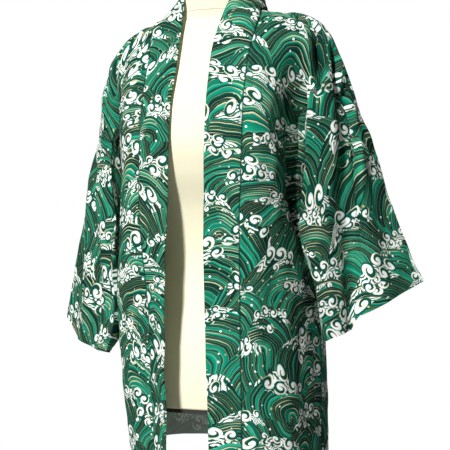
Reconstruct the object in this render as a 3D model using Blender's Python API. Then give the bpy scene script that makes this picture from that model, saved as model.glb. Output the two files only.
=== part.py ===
"""A haori jacket of printed cotton, worn by a limbless dress form on a stand.

Metres, +Z up. The origin is on the floor, at the middle of the stand's base.
The form faces -Y, and its own left side is +X. Garment sizes are written from
the form's base upward, and ON_STAND lifts them all to their height on the stand.
"""

import math

import bmesh
import bpy
import numpy as np

# ---- driving dimensions -------------------------------------------------------------------
CLOTH = 0.0015          # one layer of quilting cotton, with the ease it needs as a wall
BAND = 0.0030           # the neck band is folded double
SEAM_GAP = 0.0003       # between neighbouring pieces
CORNER_EASE = 0.0005    # more of a gap where three pieces meet in a tight fold
FORM_CLEARANCE = 0.0008  # from the jersey to the inside of the cloth
BAND_EASE = 0.0014      # more room for the band where it rounds the neck
FORM_BASE_Z = 0.790     # height on its stand of the level that garment sizes count from
ARMHOLE = 0.250         # depth of the armhole and of the sleeve, laid flat
FRONT_FOLD = 0.100      # from the shoulder down to the arm's front fold
HEM_DROP = 0.720        # shoulder to hem at the front edge

FORM_SIDES = 36         # points round the form
FOLD_ROWS = 10          # rows of faces from the shoulder to the arm's front fold
HEEL_ROWS = 5           # rows of faces from the front fold to the underarm
ARM_ROWS = FOLD_ROWS + HEEL_ROWS
SKIRT_ROWS = 13         # rows of faces from underarm to hem
PANEL_COLUMNS = 12      # columns of faces across a front, and across each back shoulder
NECK_COLUMNS = 14       # columns of faces round the back of the neck
EDGE_COLUMNS = 5        # columns that follow when a panel's edge is moved
BAND_COLUMNS = 4        # columns of faces across the neck band
SLEEVE_RINGS = 14       # rows of faces from armhole to cuff

ON_STAND = np.array([0.0, 0.0, FORM_BASE_Z])

# ---- the dress form: height above its base, half width, depth to the front and to the back --
FORM_POWER = 2.3        # its sections are ellipses, slightly squared
FORM_SECTIONS = [
    # height  width   front   back
    (0.013, 0.1410, 0.1110, 0.1080),
    (0.055, 0.1450, 0.1150, 0.1130),
    (0.110, 0.1450, 0.1130, 0.1130),
    (0.180, 0.1330, 0.1000, 0.0980),
    (0.250, 0.1200, 0.0930, 0.0840),
    (0.320, 0.1260, 0.1040, 0.0860),
    (0.380, 0.1370, 0.1240, 0.0930),
    (0.420, 0.1420, 0.1310, 0.0970),
    (0.470, 0.1450, 0.1210, 0.1000),
    (0.520, 0.1530, 0.0990, 0.0980),
    (0.560, 0.1650, 0.0800, 0.0880),
    (0.580, 0.1690, 0.0710, 0.0790),
    (0.594, 0.1620, 0.0650, 0.0730),
    (0.604, 0.1450, 0.0610, 0.0680),
    (0.612, 0.1200, 0.0580, 0.0630),
    (0.619, 0.0920, 0.0550, 0.0580),
    (0.630, 0.0680, 0.0550, 0.0560),
    (0.648, 0.0570, 0.0545, 0.0545),
    (0.670, 0.0550, 0.0545, 0.0545),
    (0.705, 0.0545, 0.0545, 0.0545),
]
NECK_CAP_HEIGHT = 0.018
BASE_PLATE_HEIGHT = 0.006
BASE_PLATE_INSET = 0.0015
POLE_RADIUS = 0.0125
SOCKET_RADIUS = 0.030
SOCKET_HEIGHT = 0.040
STAND_RADIUS = 0.180
STAND_HEIGHT = 0.014

# ---- the fronts: rows from the shoulder down, each through six points from the band seam to
# ---- the armhole or side seam; down to the underarm, the last point is the sleeve's own edge
LEFT_FRONT = [
    # drop, band seam, chest, turn of the chest, valley by the arm, front of the arm, edge
    (0.00, (0.075, -0.010, 0.6325), (0.105, 0.000, 0.6275), (0.140, 0.000, 0.6235),
     (0.170, 0.000, 0.6080), (0.195, 0.003, 0.5680), None),
    (0.04, (0.089, -0.050, 0.6140), (0.117, -0.042, 0.6100), (0.146, -0.038, 0.6030),
     (0.170, -0.033, 0.5850), (0.190, -0.028, 0.5520), None),
    (0.10, (0.092, -0.095, 0.5620), (0.115, -0.090, 0.5580), (0.139, -0.076, 0.5450),
     (0.153, -0.056, 0.5250), (0.164, -0.052, 0.5110), None),
    (0.17, (0.094, -0.122, 0.4900), (0.112, -0.120, 0.4870), (0.129, -0.104, 0.4770),
     (0.139, -0.064, 0.4580), (0.149, -0.046, 0.4460), None),
    (0.25, (0.095, -0.131, 0.4100), (0.112, -0.128, 0.4080), (0.130, -0.108, 0.4020),
     (0.140, -0.064, 0.3880), (0.147, -0.022, 0.3790), None),
    (0.35, (0.092, -0.132, 0.3100), (0.113, -0.128, 0.3080), (0.133, -0.104, 0.3060),
     (0.147, -0.062, 0.3030), (0.153, -0.022, 0.3000), (0.154, 0.012, 0.298)),
    (0.50, (0.092, -0.130, 0.1600), (0.115, -0.126, 0.1600), (0.140, -0.100, 0.1600),
     (0.155, -0.060, 0.1600), (0.162, -0.022, 0.1600), (0.164, 0.012, 0.160)),
    (0.72, (0.094, -0.126, -0.0600), (0.117, -0.122, -0.0600), (0.143, -0.096, -0.0600),
     (0.158, -0.058, -0.0600), (0.164, -0.022, -0.0600), (0.166, 0.012, -0.060)),
]
RIGHT_FRONT = [
    (0.00, (-0.094, -0.008, 0.6270), (-0.118, 0.000, 0.6190), (-0.142, 0.000, 0.6140),
     (-0.172, 0.000, 0.5980), (-0.206, 0.003, 0.5420), None),
    (0.04, (-0.089, -0.045, 0.6100), (-0.115, -0.040, 0.6040), (-0.143, -0.038, 0.5940),
     (-0.168, -0.034, 0.5750), (-0.193, -0.028, 0.5200), None),
    (0.10, (-0.082, -0.092, 0.5550), (-0.107, -0.088, 0.5480), (-0.135, -0.077, 0.5250),
     (-0.152, -0.059, 0.4880), (-0.162, -0.055, 0.4520), None),
    (0.17, (-0.080, -0.119, 0.4850), (-0.104, -0.117, 0.4800), (-0.128, -0.104, 0.4620),
     (-0.141, -0.066, 0.4280), (-0.150, -0.048, 0.4030), None),
    (0.25, (-0.079, -0.128, 0.4050), (-0.104, -0.122, 0.4010), (-0.129, -0.100, 0.3860),
     (-0.141, -0.060, 0.3600), (-0.148, -0.020, 0.3430), None),
    (0.35, (-0.076, -0.132, 0.3050), (-0.100, -0.124, 0.3030), (-0.129, -0.098, 0.2960),
     (-0.144, -0.060, 0.2840), (-0.151, -0.022, 0.2790), (-0.154, 0.012, 0.275)),
    (0.50, (-0.060, -0.132, 0.1550), (-0.090, -0.126, 0.1550), (-0.132, -0.098, 0.1550),
     (-0.150, -0.060, 0.1550), (-0.158, -0.022, 0.1550), (-0.161, 0.012, 0.155)),
    (0.60, (-0.058, -0.128, 0.0560), (-0.087, -0.124, 0.0560), (-0.122, -0.100, 0.0560),
     (-0.139, -0.062, 0.0560), (-0.149, -0.022, 0.0560), (-0.153, 0.012, 0.056)),
    (0.72, (-0.056, -0.120, -0.0600), (-0.080, -0.118, -0.0600), (-0.106, -0.098, -0.0600),
     (-0.122, -0.060, -0.0600), (-0.132, -0.022, -0.0600), (-0.138, 0.012, -0.060)),
]

# ---- the back: the same rows, from the middle of the back out to the armhole or side seam ---
BACK_MIDDLE = [
    # drop, y, z at the middle of the back
    (0.04, 0.0830, 0.6060), (0.10, 0.1020, 0.5520), (0.17, 0.1080, 0.4830),
    (0.25, 0.1080, 0.4040), (0.35, 0.1060, 0.3050), (0.50, 0.1150, 0.1560),
    (0.72, 0.1220, -0.0600),
]
LEFT_BACK = [
    # drop, below the neck's side, shoulder blade, valley by the arm, back of the arm
    (0.04, (0.085, 0.066, 0.6120), (0.138, 0.050, 0.6020), (0.168, 0.042, 0.5800),
     (0.189, 0.040, 0.5400)),
    (0.10, (0.088, 0.096, 0.5520), (0.135, 0.082, 0.5350), (0.158, 0.068, 0.5000),
     (0.170, 0.060, 0.4620)),
    (0.17, (0.090, 0.103, 0.4830), (0.132, 0.088, 0.4700), (0.150, 0.066, 0.4420),
     (0.160, 0.047, 0.4180)),
    (0.25, (0.090, 0.102, 0.4040), (0.131, 0.085, 0.3960), (0.147, 0.058, 0.3830),
     (0.153, 0.033, 0.3760)),
    (0.35, (0.090, 0.099, 0.3050), (0.134, 0.082, 0.3050), (0.150, 0.055, 0.3020),
     (0.156, 0.033, 0.3000)),
    (0.50, (0.092, 0.108, 0.1560), (0.140, 0.086, 0.1580), (0.157, 0.056, 0.1600),
     (0.164, 0.033, 0.1600)),
    (0.72, (0.092, 0.115, -0.0600), (0.141, 0.090, -0.0600), (0.159, 0.060, -0.0600),
     (0.166, 0.034, -0.0600)),
]
RIGHT_BACK = [
    (0.04, (-0.090, 0.064, 0.6080), (-0.140, 0.050, 0.5940), (-0.170, 0.042, 0.5640),
     (-0.194, 0.040, 0.4980)),
    (0.10, (-0.090, 0.095, 0.5500), (-0.135, 0.082, 0.5240), (-0.158, 0.068, 0.4700),
     (-0.172, 0.060, 0.4150)),
    (0.17, (-0.090, 0.103, 0.4820), (-0.132, 0.088, 0.4600), (-0.150, 0.066, 0.4150),
     (-0.161, 0.047, 0.3750)),
    (0.25, (-0.090, 0.102, 0.4030), (-0.131, 0.085, 0.3880), (-0.147, 0.058, 0.3580),
     (-0.153, 0.033, 0.3400)),
    (0.35, (-0.090, 0.099, 0.3040), (-0.132, 0.082, 0.2980), (-0.149, 0.055, 0.2850),
     (-0.155, 0.033, 0.2790)),
    (0.50, (-0.090, 0.108, 0.1560), (-0.136, 0.086, 0.1560), (-0.154, 0.056, 0.1550),
     (-0.161, 0.033, 0.1550)),
    (0.72, (-0.088, 0.115, -0.0600), (-0.124, 0.092, -0.0600), (-0.137, 0.060, -0.0600),
     (-0.140, 0.034, -0.0600)),
]

# ---- the sleeves: rows from armhole to cuff, measured along the top fold -------------------
LEFT_SLEEVE = [
    # along, top fold, crown, front fold, heel, underarm seam, back of the arm
    (0.000, (0.217, 0.010, 0.510), (0.199, -0.036, 0.512), (0.171, -0.062, 0.500),
     (0.160, -0.036, 0.444), (0.156, 0.009, 0.372), (0.180, 0.067, 0.462)),
    (0.090, (0.241, 0.033, 0.425), (0.220, -0.030, 0.424), (0.175, -0.072, 0.400),
     (0.171, -0.058, 0.360), (0.174, -0.028, 0.325), (0.212, 0.064, 0.388)),
    (0.160, (0.260, 0.047, 0.358), (0.240, -0.008, 0.340), (0.167, -0.080, 0.296),
     (0.170, -0.073, 0.291), (0.175, -0.064, 0.288), (0.206, 0.030, 0.322)),
    (0.240, (0.283, 0.063, 0.280), (0.256, 0.006, 0.257), (0.187, -0.070, 0.208),
     (0.190, -0.065, 0.206), (0.194, -0.058, 0.205), (0.224, 0.024, 0.248)),
    (0.325, (0.313, 0.077, 0.208), (0.280, 0.018, 0.182), (0.197, -0.061, 0.1235),
     (0.200, -0.056, 0.1235), (0.204, -0.050, 0.125), (0.243, 0.026, 0.178)),
]
RIGHT_SLEEVE = [
    (0.000, (-0.229, 0.010, 0.438), (-0.205, -0.034, 0.440), (-0.166, -0.062, 0.428),
     (-0.159, -0.038, 0.383), (-0.156, 0.009, 0.322), (-0.184, 0.065, 0.398)),
    (0.080, (-0.249, 0.018, 0.363), (-0.220, -0.030, 0.362), (-0.160, -0.074, 0.345),
     (-0.163, -0.060, 0.312), (-0.170, -0.032, 0.286), (-0.212, 0.052, 0.332)),
    (0.150, (-0.2675, 0.024, 0.295), (-0.232, -0.018, 0.286), (-0.154, -0.084, 0.258),
     (-0.159, -0.078, 0.254), (-0.165, -0.070, 0.251), (-0.206, 0.018, 0.272)),
    (0.230, (-0.288, 0.030, 0.218), (-0.246, -0.010, 0.198), (-0.151, -0.083, 0.160),
     (-0.155, -0.078, 0.158), (-0.161, -0.070, 0.157), (-0.214, 0.012, 0.190)),
    (0.315, (-0.306, 0.036, 0.137), (-0.258, -0.005, 0.108), (-0.170, -0.077, 0.0916),
     (-0.174, -0.072, 0.0916), (-0.180, -0.064, 0.093), (-0.228, 0.012, 0.118)),
]

# ---- the neck band's free edge, by the front rows, then round the back of the neck ---------
LEFT_BAND_EDGE = [
    (0.00, (0.047, -0.038, 0.6630)), (0.04, (0.0385, -0.058, 0.6400)),
    (0.10, (0.0345, -0.103, 0.5730)), (0.17, (0.0360, -0.128, 0.4970)),
    (0.25, (0.0364, -0.138, 0.4120)), (0.35, (0.0357, -0.140, 0.3100)),
    (0.50, (0.0390, -0.141, 0.1600)), (0.72, (0.0450, -0.138, -0.0600)),
]
RIGHT_BAND_EDGE = [
    (0.00, (-0.049, -0.037, 0.6600)), (0.04, (-0.0385, -0.058, 0.6400)),
    (0.10, (-0.0255, -0.105, 0.5660)), (0.17, (-0.0235, -0.130, 0.4900)),
    (0.25, (-0.0228, -0.139, 0.4050)), (0.35, (-0.0240, -0.146, 0.3050)),
    (0.50, (-0.0200, -0.158, 0.1550)), (0.72, (-0.0210, -0.148, -0.0600)),
]
NECKLINE = [(0.064, 0.038, 0.6400), (0.0, 0.073, 0.6430), (-0.076, 0.038, 0.6370)]
BAND_NECK_EDGE = [(0.056, 0.024, 0.6840), (0.0, 0.066, 0.6950), (-0.060, 0.026, 0.6820)]

# ---- folds: soft troughs (negative) and ridges (positive) pressed into a sleeve ------------
# ---- each runs from armhole to cuff, its place given as a fraction of its layer's width
SLEEVE_FRONT_FOLDS = [
    # at the armhole, at the cuff, half width, depth at the armhole, depth at the cuff
    (0.38, 0.68, 0.11, -0.0100, -0.0140),
    (0.22, 0.48, 0.13, 0.0040, 0.0060),
]
SLEEVE_BACK_FOLDS = [
    (0.30, 0.52, 0.12, -0.0060, -0.0090),
]


# ---- curves and surfaces -------------------------------------------------------------------
def through(knots, values, at):
    """A smooth line through each row of values at its knot, read at the places in at."""
    knots = np.asarray(knots, float)
    values = np.asarray(values, float)
    at = np.clip(np.asarray(at, float), knots[0], knots[-1])
    gaps = np.diff(knots).reshape((-1,) + (1,) * (values.ndim - 1))
    slopes = np.diff(values, axis=0) / gaps
    inner = (slopes[:-1] * gaps[1:] + slopes[1:] * gaps[:-1]) / (gaps[:-1] + gaps[1:])
    first = 1.5 * slopes[:1] - 0.5 * inner[:1] if len(inner) else slopes[:1]
    last = 1.5 * slopes[-1:] - 0.5 * inner[-1:] if len(inner) else slopes[-1:]
    tangents = np.concatenate([first, inner, last])
    i = np.clip(np.searchsorted(knots, at, side="right") - 1, 0, len(knots) - 2)
    step = gaps[i]
    f = (at - knots[i]).reshape((-1,) + (1,) * (values.ndim - 1)) / step
    return (
        (2 * f**3 - 3 * f**2 + 1) * values[i]
        + (f**3 - 2 * f**2 + f) * step * tangents[i]
        + (3 * f**2 - 2 * f**3) * values[i + 1]
        + (f**3 - f**2) * step * tangents[i + 1]
    )


def along(points, fractions):
    """Places at the given fractions of the length of a smooth line through points."""
    points = np.asarray(points, float)
    chord = np.concatenate([[0], np.cumsum(np.linalg.norm(np.diff(points, axis=0), axis=1))])
    fine = through(chord, points, np.linspace(0, chord[-1], 120))
    length = np.concatenate([[0], np.cumsum(np.linalg.norm(np.diff(fine, axis=0), axis=1))])
    want = np.asarray(fractions) * length[-1]
    return np.stack([np.interp(want, length, fine[:, k]) for k in range(3)], axis=1)


def normals_of(grid, closed=False):
    """A unit normal at each point of a grid of points; closed grids wrap along their rows."""
    if closed:
        across = np.roll(grid, -1, axis=1) - np.roll(grid, 1, axis=1)
    else:
        across = np.gradient(grid, axis=1)
    normal = np.cross(np.gradient(grid, axis=0), across)
    return normal / np.maximum(np.linalg.norm(normal, axis=2, keepdims=True), 1e-12)


def unit(vectors):
    return vectors / np.maximum(np.linalg.norm(vectors, axis=-1, keepdims=True), 1e-12)


# ---- the form's surface --------------------------------------------------------------------
def form_measure(points):
    """1 on the form's surface, less inside it and more outside."""
    table = np.array(FORM_SECTIONS)
    width, front, back = through(table[:, 0], table[:, 1:], points[:, 2]).T
    depth = np.where(points[:, 1] < 0, front, back)
    spread = (np.abs(points[:, 0]) / width) ** FORM_POWER
    return (spread + (np.abs(points[:, 1]) / depth) ** FORM_POWER) ** (1 / FORM_POWER)


def clear_of_form(grid, clearance):
    """The grid with every point that is too near the form moved out to the clearance."""
    points = grid.reshape(-1, 3).copy()
    tiny = 0.0005
    for _ in range(6):
        here = form_measure(points)
        slope = np.stack(
            [
                (form_measure(points + step) - form_measure(points - step)) / (2 * tiny)
                for step in np.eye(3) * tiny
            ],
            axis=1,
        )
        steep = np.maximum(np.linalg.norm(slope, axis=1), 1e-6)
        short = clearance - (here - 1) / steep
        inside_reach = points[:, 2] > FORM_SECTIONS[0][0] - 0.01
        move = np.where((short > 0) & inside_reach, np.minimum(short, 0.01), 0)
        points += move[:, None] * slope / steep[:, None]
    return points.reshape(grid.shape)


# ---- the garment's surfaces, as grids of points in the middle of each wall -----------------
def fold_height(folds, across, down):
    """How far the folds move each point out of its layer; nothing at its edges and armhole."""
    height = np.zeros(across.shape)
    for at_armhole, at_cuff, half_width, first_depth, last_depth in folds:
        middle = at_armhole + (at_cuff - at_armhole) * down
        depth = first_depth + (last_depth - first_depth) * down
        height += depth * np.exp(-(((across - middle) / half_width) ** 2))
    near_edge = np.clip(8 * np.minimum(across, 1 - across), 0, 1)
    return height * near_edge * np.clip(5 * down, 0, 1)


def sleeve_layers(table, distances):
    """The front and back layers of a sleeve, each from its top fold to its underarm seam."""
    stations = through([row[0] for row in table], [row[1:] for row in table], distances)
    to_fold = np.linspace(0, 1, FOLD_ROWS + 1)
    to_seam = np.linspace(0, 1, HEEL_ROWS + 1)
    all_the_way = np.linspace(0, 1, ARM_ROWS + 1)
    fronts = []
    backs = []
    for top, crown, fold, heel, under, back in stations:
        upper = along([top, crown, fold], to_fold)
        fronts.append(np.concatenate([upper, along([fold, heel, under], to_seam)[1:]]))
        backs.append(along([top, back, under], all_the_way))
    return np.array(fronts), np.array(backs)


def sleeve_grid(table, facing):
    """A sleeve's tube: rings from the armhole to the cuff, front layer first."""
    long = table[-1][0]
    distances = np.linspace(0, long, SLEEVE_RINGS + 1)
    front, back = sleeve_layers(table, distances)
    steps = np.arange(ARM_ROWS + 1)
    down, across = np.meshgrid(distances / long, steps / FOLD_ROWS, indexing="ij")
    lift = fold_height(SLEEVE_FRONT_FOLDS, np.minimum(across, 1), down)
    front += lift[..., None] * normals_of(front) * facing
    lift = fold_height(SLEEVE_BACK_FOLDS, across * FOLD_ROWS / ARM_ROWS, down)
    back -= lift[..., None] * normals_of(back) * facing
    return np.concatenate([front, back[:, -2:0:-1]], axis=1)


def armhole_edges(table):
    """The armhole's front and back edges, from the shoulder down to the underarm."""
    front, back = sleeve_layers(table, [0.0])
    return front[0], back[0]


def drops():
    """How far below the shoulder each row of a panel lies."""
    return np.concatenate(
        [
            np.linspace(0, FRONT_FOLD, FOLD_ROWS + 1),
            np.linspace(FRONT_FOLD, ARMHOLE, HEEL_ROWS + 1)[1:],
            np.linspace(ARMHOLE, HEM_DROP, SKIRT_ROWS + 1)[1:],
        ]
    )


def edge_at(armhole, drop):
    """The place on an armhole's edge at a drop below the shoulder."""
    return [np.interp(drop, drops()[: ARM_ROWS + 1], armhole[:, k]) for k in range(3)]


def move_edge(grid, rows, column, wanted):
    """Move part of a panel's edge to the wanted points; its next columns follow less and less."""
    shift = wanted - grid[rows, column]
    step = 1 if column == 0 else -1
    for k in range(EDGE_COLUMNS):
        grid[rows, column + k * step] += shift * (1 - k / EDGE_COLUMNS)


def front_grid(table, armhole):
    """A front panel: rows from the shoulder to the hem, each from band seam to outer edge."""
    fractions = np.linspace(0, 1, PANEL_COLUMNS + 1)
    rows = []
    for drop, *points in table:
        if points[-1] is None:
            points[-1] = edge_at(armhole, drop)
        rows.append(along(points, fractions))
    grid = through([row[0] for row in table], np.array(rows), drops())
    move_edge(grid, slice(0, ARM_ROWS + 1), -1, armhole)
    return grid


def back_grid(fronts, armholes):
    """The back panel: rows from the shoulders and neck to the hem, left side first."""
    fractions = np.linspace(0, 1, PANEL_COLUMNS + 1)
    neck = along([fronts[0][0, 0], *NECKLINE, fronts[1][0, 0]], np.linspace(0, 1, NECK_COLUMNS + 1))
    top = np.concatenate([fronts[0][0, ::-1], neck[1:-1], fronts[1][0]])
    rows = [top]
    for (drop, y, z), left, right in zip(BACK_MIDDLE, LEFT_BACK, RIGHT_BACK):
        ends = []
        for side, table in enumerate((LEFT_FRONT, RIGHT_FRONT)):
            if drop <= ARMHOLE:
                ends.append(edge_at(armholes[side], drop))
            else:
                ends.append(next(row[6] for row in table if row[0] == drop))
        line = [ends[0], *left[:0:-1], (0.0, y, z), *right[1:], ends[1]]
        lengths = np.concatenate(
            [[0], np.cumsum(np.linalg.norm(np.diff(np.array(line), axis=0), axis=1))]
        )
        left_neck = lengths[4] / lengths[-1]
        right_neck = lengths[6] / lengths[-1]
        spread = np.concatenate(
            [
                fractions * left_neck,
                np.linspace(left_neck, right_neck, NECK_COLUMNS + 1)[1:-1],
                right_neck + fractions * (1 - right_neck),
            ]
        )
        rows.append(along(line, spread))
    grid = through([0.0] + [row[0] for row in BACK_MIDDLE], np.array(rows), drops())
    grid[0] = top
    for edge, armhole, front in ((0, armholes[0], fronts[0]), (-1, armholes[1], fronts[1])):
        move_edge(grid, slice(0, ARM_ROWS + 1), edge, armhole)
        move_edge(grid, slice(ARM_ROWS + 1, None), edge, front[ARM_ROWS + 1 :, -1])
    return grid


def band_grid(fronts, back):
    """The neck band: from the left hem, round the neck, to the right hem; seam edge first."""
    neck = slice(PANEL_COLUMNS, PANEL_COLUMNS + NECK_COLUMNS + 1)
    seam = np.concatenate([fronts[0][::-1, 0], back[0, neck][1:-1], fronts[1][:, 0]])
    left = through(*zip(*LEFT_BAND_EDGE), drops())
    right = through(*zip(*RIGHT_BAND_EDGE), drops())
    round_neck = along([left[0], *BAND_NECK_EDGE, right[0]], np.linspace(0, 1, NECK_COLUMNS + 1))
    free = np.concatenate([left[::-1], round_neck[1:-1], right])
    across = np.linspace(0, 1, BAND_COLUMNS + 1)[None, :, None]
    return seam[:, None] * (1 - across) + free[:, None] * across


# ---- walls ---------------------------------------------------------------------------------
EDGES = {
    "first_row": (np.s_[0], np.s_[1]),
    "last_row": (np.s_[-1], np.s_[-2]),
    "first_column": (np.s_[:, 0], np.s_[:, 1]),
    "last_column": (np.s_[:, -1], np.s_[:, -2]),
}


def draw_in(grid, edges, ease=0.0):
    """The grid with the named edges moved half a seam gap, and any ease, into the panel."""
    moved = grid.copy()
    for edge in edges:
        here, inside = EDGES[edge]
        line = unit(np.gradient(grid[here], axis=0))
        inward = grid[inside] - grid[here]
        inward -= line * (inward * line).sum(axis=1, keepdims=True)
        moved[here] += unit(inward) * np.reshape(0.55 * SEAM_GAP + ease, (-1, 1))
    return moved


def corner_ease(count, corners):
    """Extra gap for the points of an edge, most at its corners."""
    far = np.min([np.abs(np.arange(count) - corner) for corner in corners], axis=0)
    return CORNER_EASE * np.exp(-((far / 2.5) ** 2))


def share_normals(*edges):
    """Give meeting edges one normal, so that their walls end face to face."""
    mean = unit(sum(normal[place] for normal, place in edges))
    for normal, place in edges:
        normal[place] = mean


def wall_mesh(name, grid, normal, thickness, closed=False):
    """A closed wall of the given thickness about a grid of points."""
    rows, columns = grid.shape[:2]
    count = rows * columns
    sides = [grid + normal * thickness / 2, grid - normal * thickness / 2]
    points = np.concatenate([side.reshape(-1, 3) for side in sides]) + ON_STAND
    number = np.arange(count).reshape(rows, columns)
    if closed:
        number = np.concatenate([number, number[:, :1]], axis=1)
    faces = []
    for i in range(rows - 1):
        for j in range(number.shape[1] - 1):
            a, b = number[i, j], number[i, j + 1]
            c, d = number[i + 1, j + 1], number[i + 1, j]
            faces.append((a, b, c, d))
            faces.append((count + d, count + c, count + b, count + a))
    rims = [number[0, ::-1], number[-1]]
    if not closed:
        rims += [number[:, 0], number[::-1, -1]]
    for rim in rims:
        for a, b in zip(rim, rim[1:]):
            faces.append((a, b, count + b, count + a))
    mesh = bpy.data.meshes.new(name)
    mesh.from_pydata(points.tolist(), [], [tuple(int(v) for v in face) for face in faces])
    return outward(mesh)


def outward(mesh):
    """The mesh with its faces pointing out and shaded smooth up to its sharp rims."""
    shape = bmesh.new()
    shape.from_mesh(mesh)
    bmesh.ops.recalc_face_normals(shape, faces=shape.faces)
    shape.to_mesh(mesh)
    shape.free()
    mesh.shade_smooth()
    mesh.set_sharp_from_angle(angle=math.radians(50))
    return mesh


def turned_mesh(name, profile, sides):
    """A solid turned about the stand's axis from (radius, height) pairs, closed at both ends."""
    turn = np.linspace(0, 2 * math.pi, sides, endpoint=False)
    rings = [[(r * math.cos(a), r * math.sin(a), z) for a in turn] for r, z in profile]
    return lofted_mesh(name, np.array(rings))


def lofted_mesh(name, rings):
    """A solid through rings of points, with a flat face on its first and last rings."""
    count = rings.shape[1]
    faces = [tuple(range(count)), tuple(range((len(rings) - 1) * count, len(rings) * count))]
    for i in range(len(rings) - 1):
        for j in range(count):
            k = (j + 1) % count
            faces.append((i * count + j, i * count + k, (i + 1) * count + k, (i + 1) * count + j))
    mesh = bpy.data.meshes.new(name)
    mesh.from_pydata(rings.reshape(-1, 3).tolist(), [], faces)
    return outward(mesh)


# ---- materials and objects -----------------------------------------------------------------
def material(name, colour, roughness, metallic=0.0):
    made = bpy.data.materials.new(name)
    made.use_nodes = True
    shader = made.node_tree.nodes["Principled BSDF"]
    shader.inputs["Base Color"].default_value = (*colour, 1)
    shader.inputs["Roughness"].default_value = roughness
    shader.inputs["Metallic"].default_value = metallic
    return made


def add(mesh, surface, collection):
    mesh.materials.append(surface)
    collection.objects.link(bpy.data.objects.new(mesh.name, mesh))


# ---- the jacket ----------------------------------------------------------------------------
def garment_grids():
    """The middle surface of every cut piece, each clear of the form beneath it."""
    tables = (LEFT_SLEEVE, RIGHT_SLEEVE)
    armholes = [armhole_edges(table) for table in tables]
    fronts = [
        front_grid(table, armhole[0])
        for table, armhole in zip((LEFT_FRONT, RIGHT_FRONT), armholes)
    ]
    back = back_grid(fronts, [armhole[1] for armhole in armholes])
    band = band_grid(fronts, back)
    sleeves = [sleeve_grid(LEFT_SLEEVE, -1), sleeve_grid(RIGHT_SLEEVE, 1)]
    clearance = BAND / 2 + FORM_CLEARANCE
    fronts = [clear_of_form(grid, clearance) for grid in fronts]
    sleeves = [clear_of_form(grid, clearance) for grid in sleeves]
    back = clear_of_form(back, clearance)
    seam = clear_of_form(band[:, 0], clearance)
    band = clear_of_form(band, clearance + BAND_EASE)
    band[:, 0] = seam
    return fronts, back, band, sleeves


def jacket(collection):
    """The two fronts, the back, the two sleeves and the neck band."""
    fronts, back, band, sleeves = garment_grids()
    front_normals = [normals_of(fronts[0]), -normals_of(fronts[1])]
    back_normal = normals_of(back)
    band_normal = normals_of(band)
    sleeve_normals = [-normals_of(sleeves[0], closed=True), normals_of(sleeves[1], closed=True)]
    ring_of_back = [0] + [2 * ARM_ROWS - q for q in range(1, ARM_ROWS)] + [ARM_ROWS]
    neck_end = PANEL_COLUMNS + NECK_COLUMNS
    shoulders = (np.s_[0, PANEL_COLUMNS::-1], np.s_[0, neck_end:])
    for side in (0, 1):
        edge = (0, -1)[side]
        front = front_normals[side]
        sleeve = sleeve_normals[side]
        share_normals((front, np.s_[0, :]), (back_normal, shoulders[side]))
        share_normals((front, np.s_[ARM_ROWS:, -1]), (back_normal, np.s_[ARM_ROWS:, edge]))
        share_normals((front, np.s_[: ARM_ROWS + 1, -1]), (sleeve, np.s_[0, : ARM_ROWS + 1]))
        share_normals((back_normal, np.s_[: ARM_ROWS + 1, edge]), (sleeve, (0, ring_of_back)))
        corners = [(front, (0, -1)), (back_normal, (0, edge)), (sleeve, (0, 0))]
        share_normals(*corners)
        share_normals((front, (ARM_ROWS, -1)), (back_normal, (ARM_ROWS, edge)))
        sleeve[0, ARM_ROWS] = front[ARM_ROWS, -1]
    skirt = len(drops())
    share_normals((band_normal, np.s_[:skirt, 0]), (front_normals[0], np.s_[::-1, 0]))
    share_normals((band_normal, np.s_[-skirt:, 0]), (front_normals[1], np.s_[:, 0]))
    share_normals(
        (band_normal, np.s_[skirt - 1 : skirt + NECK_COLUMNS, 0]),
        (back_normal, np.s_[0, PANEL_COLUMNS : neck_end + 1]),
    )
    for side, corner in ((0, skirt - 1), (1, skirt + NECK_COLUMNS - 1)):
        back_corner = (PANEL_COLUMNS, neck_end)[side]
        share_normals(
            (band_normal, (corner, 0)),
            (front_normals[side], (0, 0)),
            (back_normal, (0, back_corner)),
        )

    cotton = material("printed_cotton", (0.005, 0.130, 0.080), 0.85)
    for side, name in enumerate(("left", "right")):
        grid = draw_in(fronts[side], ["first_row", "first_column"])
        grid = draw_in(grid, ["last_column"], corner_ease(skirt, [ARM_ROWS]))
        add(wall_mesh(f"front_{name}", grid, front_normals[side], CLOTH), cotton, collection)
        ease = corner_ease(2 * ARM_ROWS, [ARM_ROWS])
        grid = draw_in(sleeves[side], ["first_row"], ease)
        mesh = wall_mesh(f"sleeve_{name}", grid, sleeve_normals[side], CLOTH, closed=True)
        add(mesh, cotton, collection)
    grid = draw_in(back, ["first_row"])
    grid = draw_in(grid, ["first_column", "last_column"], corner_ease(skirt, [ARM_ROWS]))
    add(wall_mesh("back", grid, back_normal, CLOTH), cotton, collection)
    ease = corner_ease(len(band), [skirt - 1, skirt + NECK_COLUMNS - 1])
    grid = draw_in(band, ["first_column"], ease)
    add(wall_mesh("neck_band", grid, band_normal, BAND), cotton, collection)


# ---- the dress form and its stand ----------------------------------------------------------
def form_ring(height, inset=0.0):
    """One section of the form, drawn in by the inset."""
    table = np.array(FORM_SECTIONS)
    width, front, back = through(table[:, 0], table[:, 1:], [height])[0] - inset
    turn = np.linspace(0, 2 * math.pi, FORM_SIDES, endpoint=False)
    x = width * np.sign(np.cos(turn)) * np.abs(np.cos(turn)) ** (2 / FORM_POWER)
    depth = np.where(np.sin(turn) < 0, front, back)
    y = depth * np.sign(np.sin(turn)) * np.abs(np.sin(turn)) ** (2 / FORM_POWER)
    return np.stack([x, y, np.full(FORM_SIDES, height)], axis=1) + ON_STAND


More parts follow.
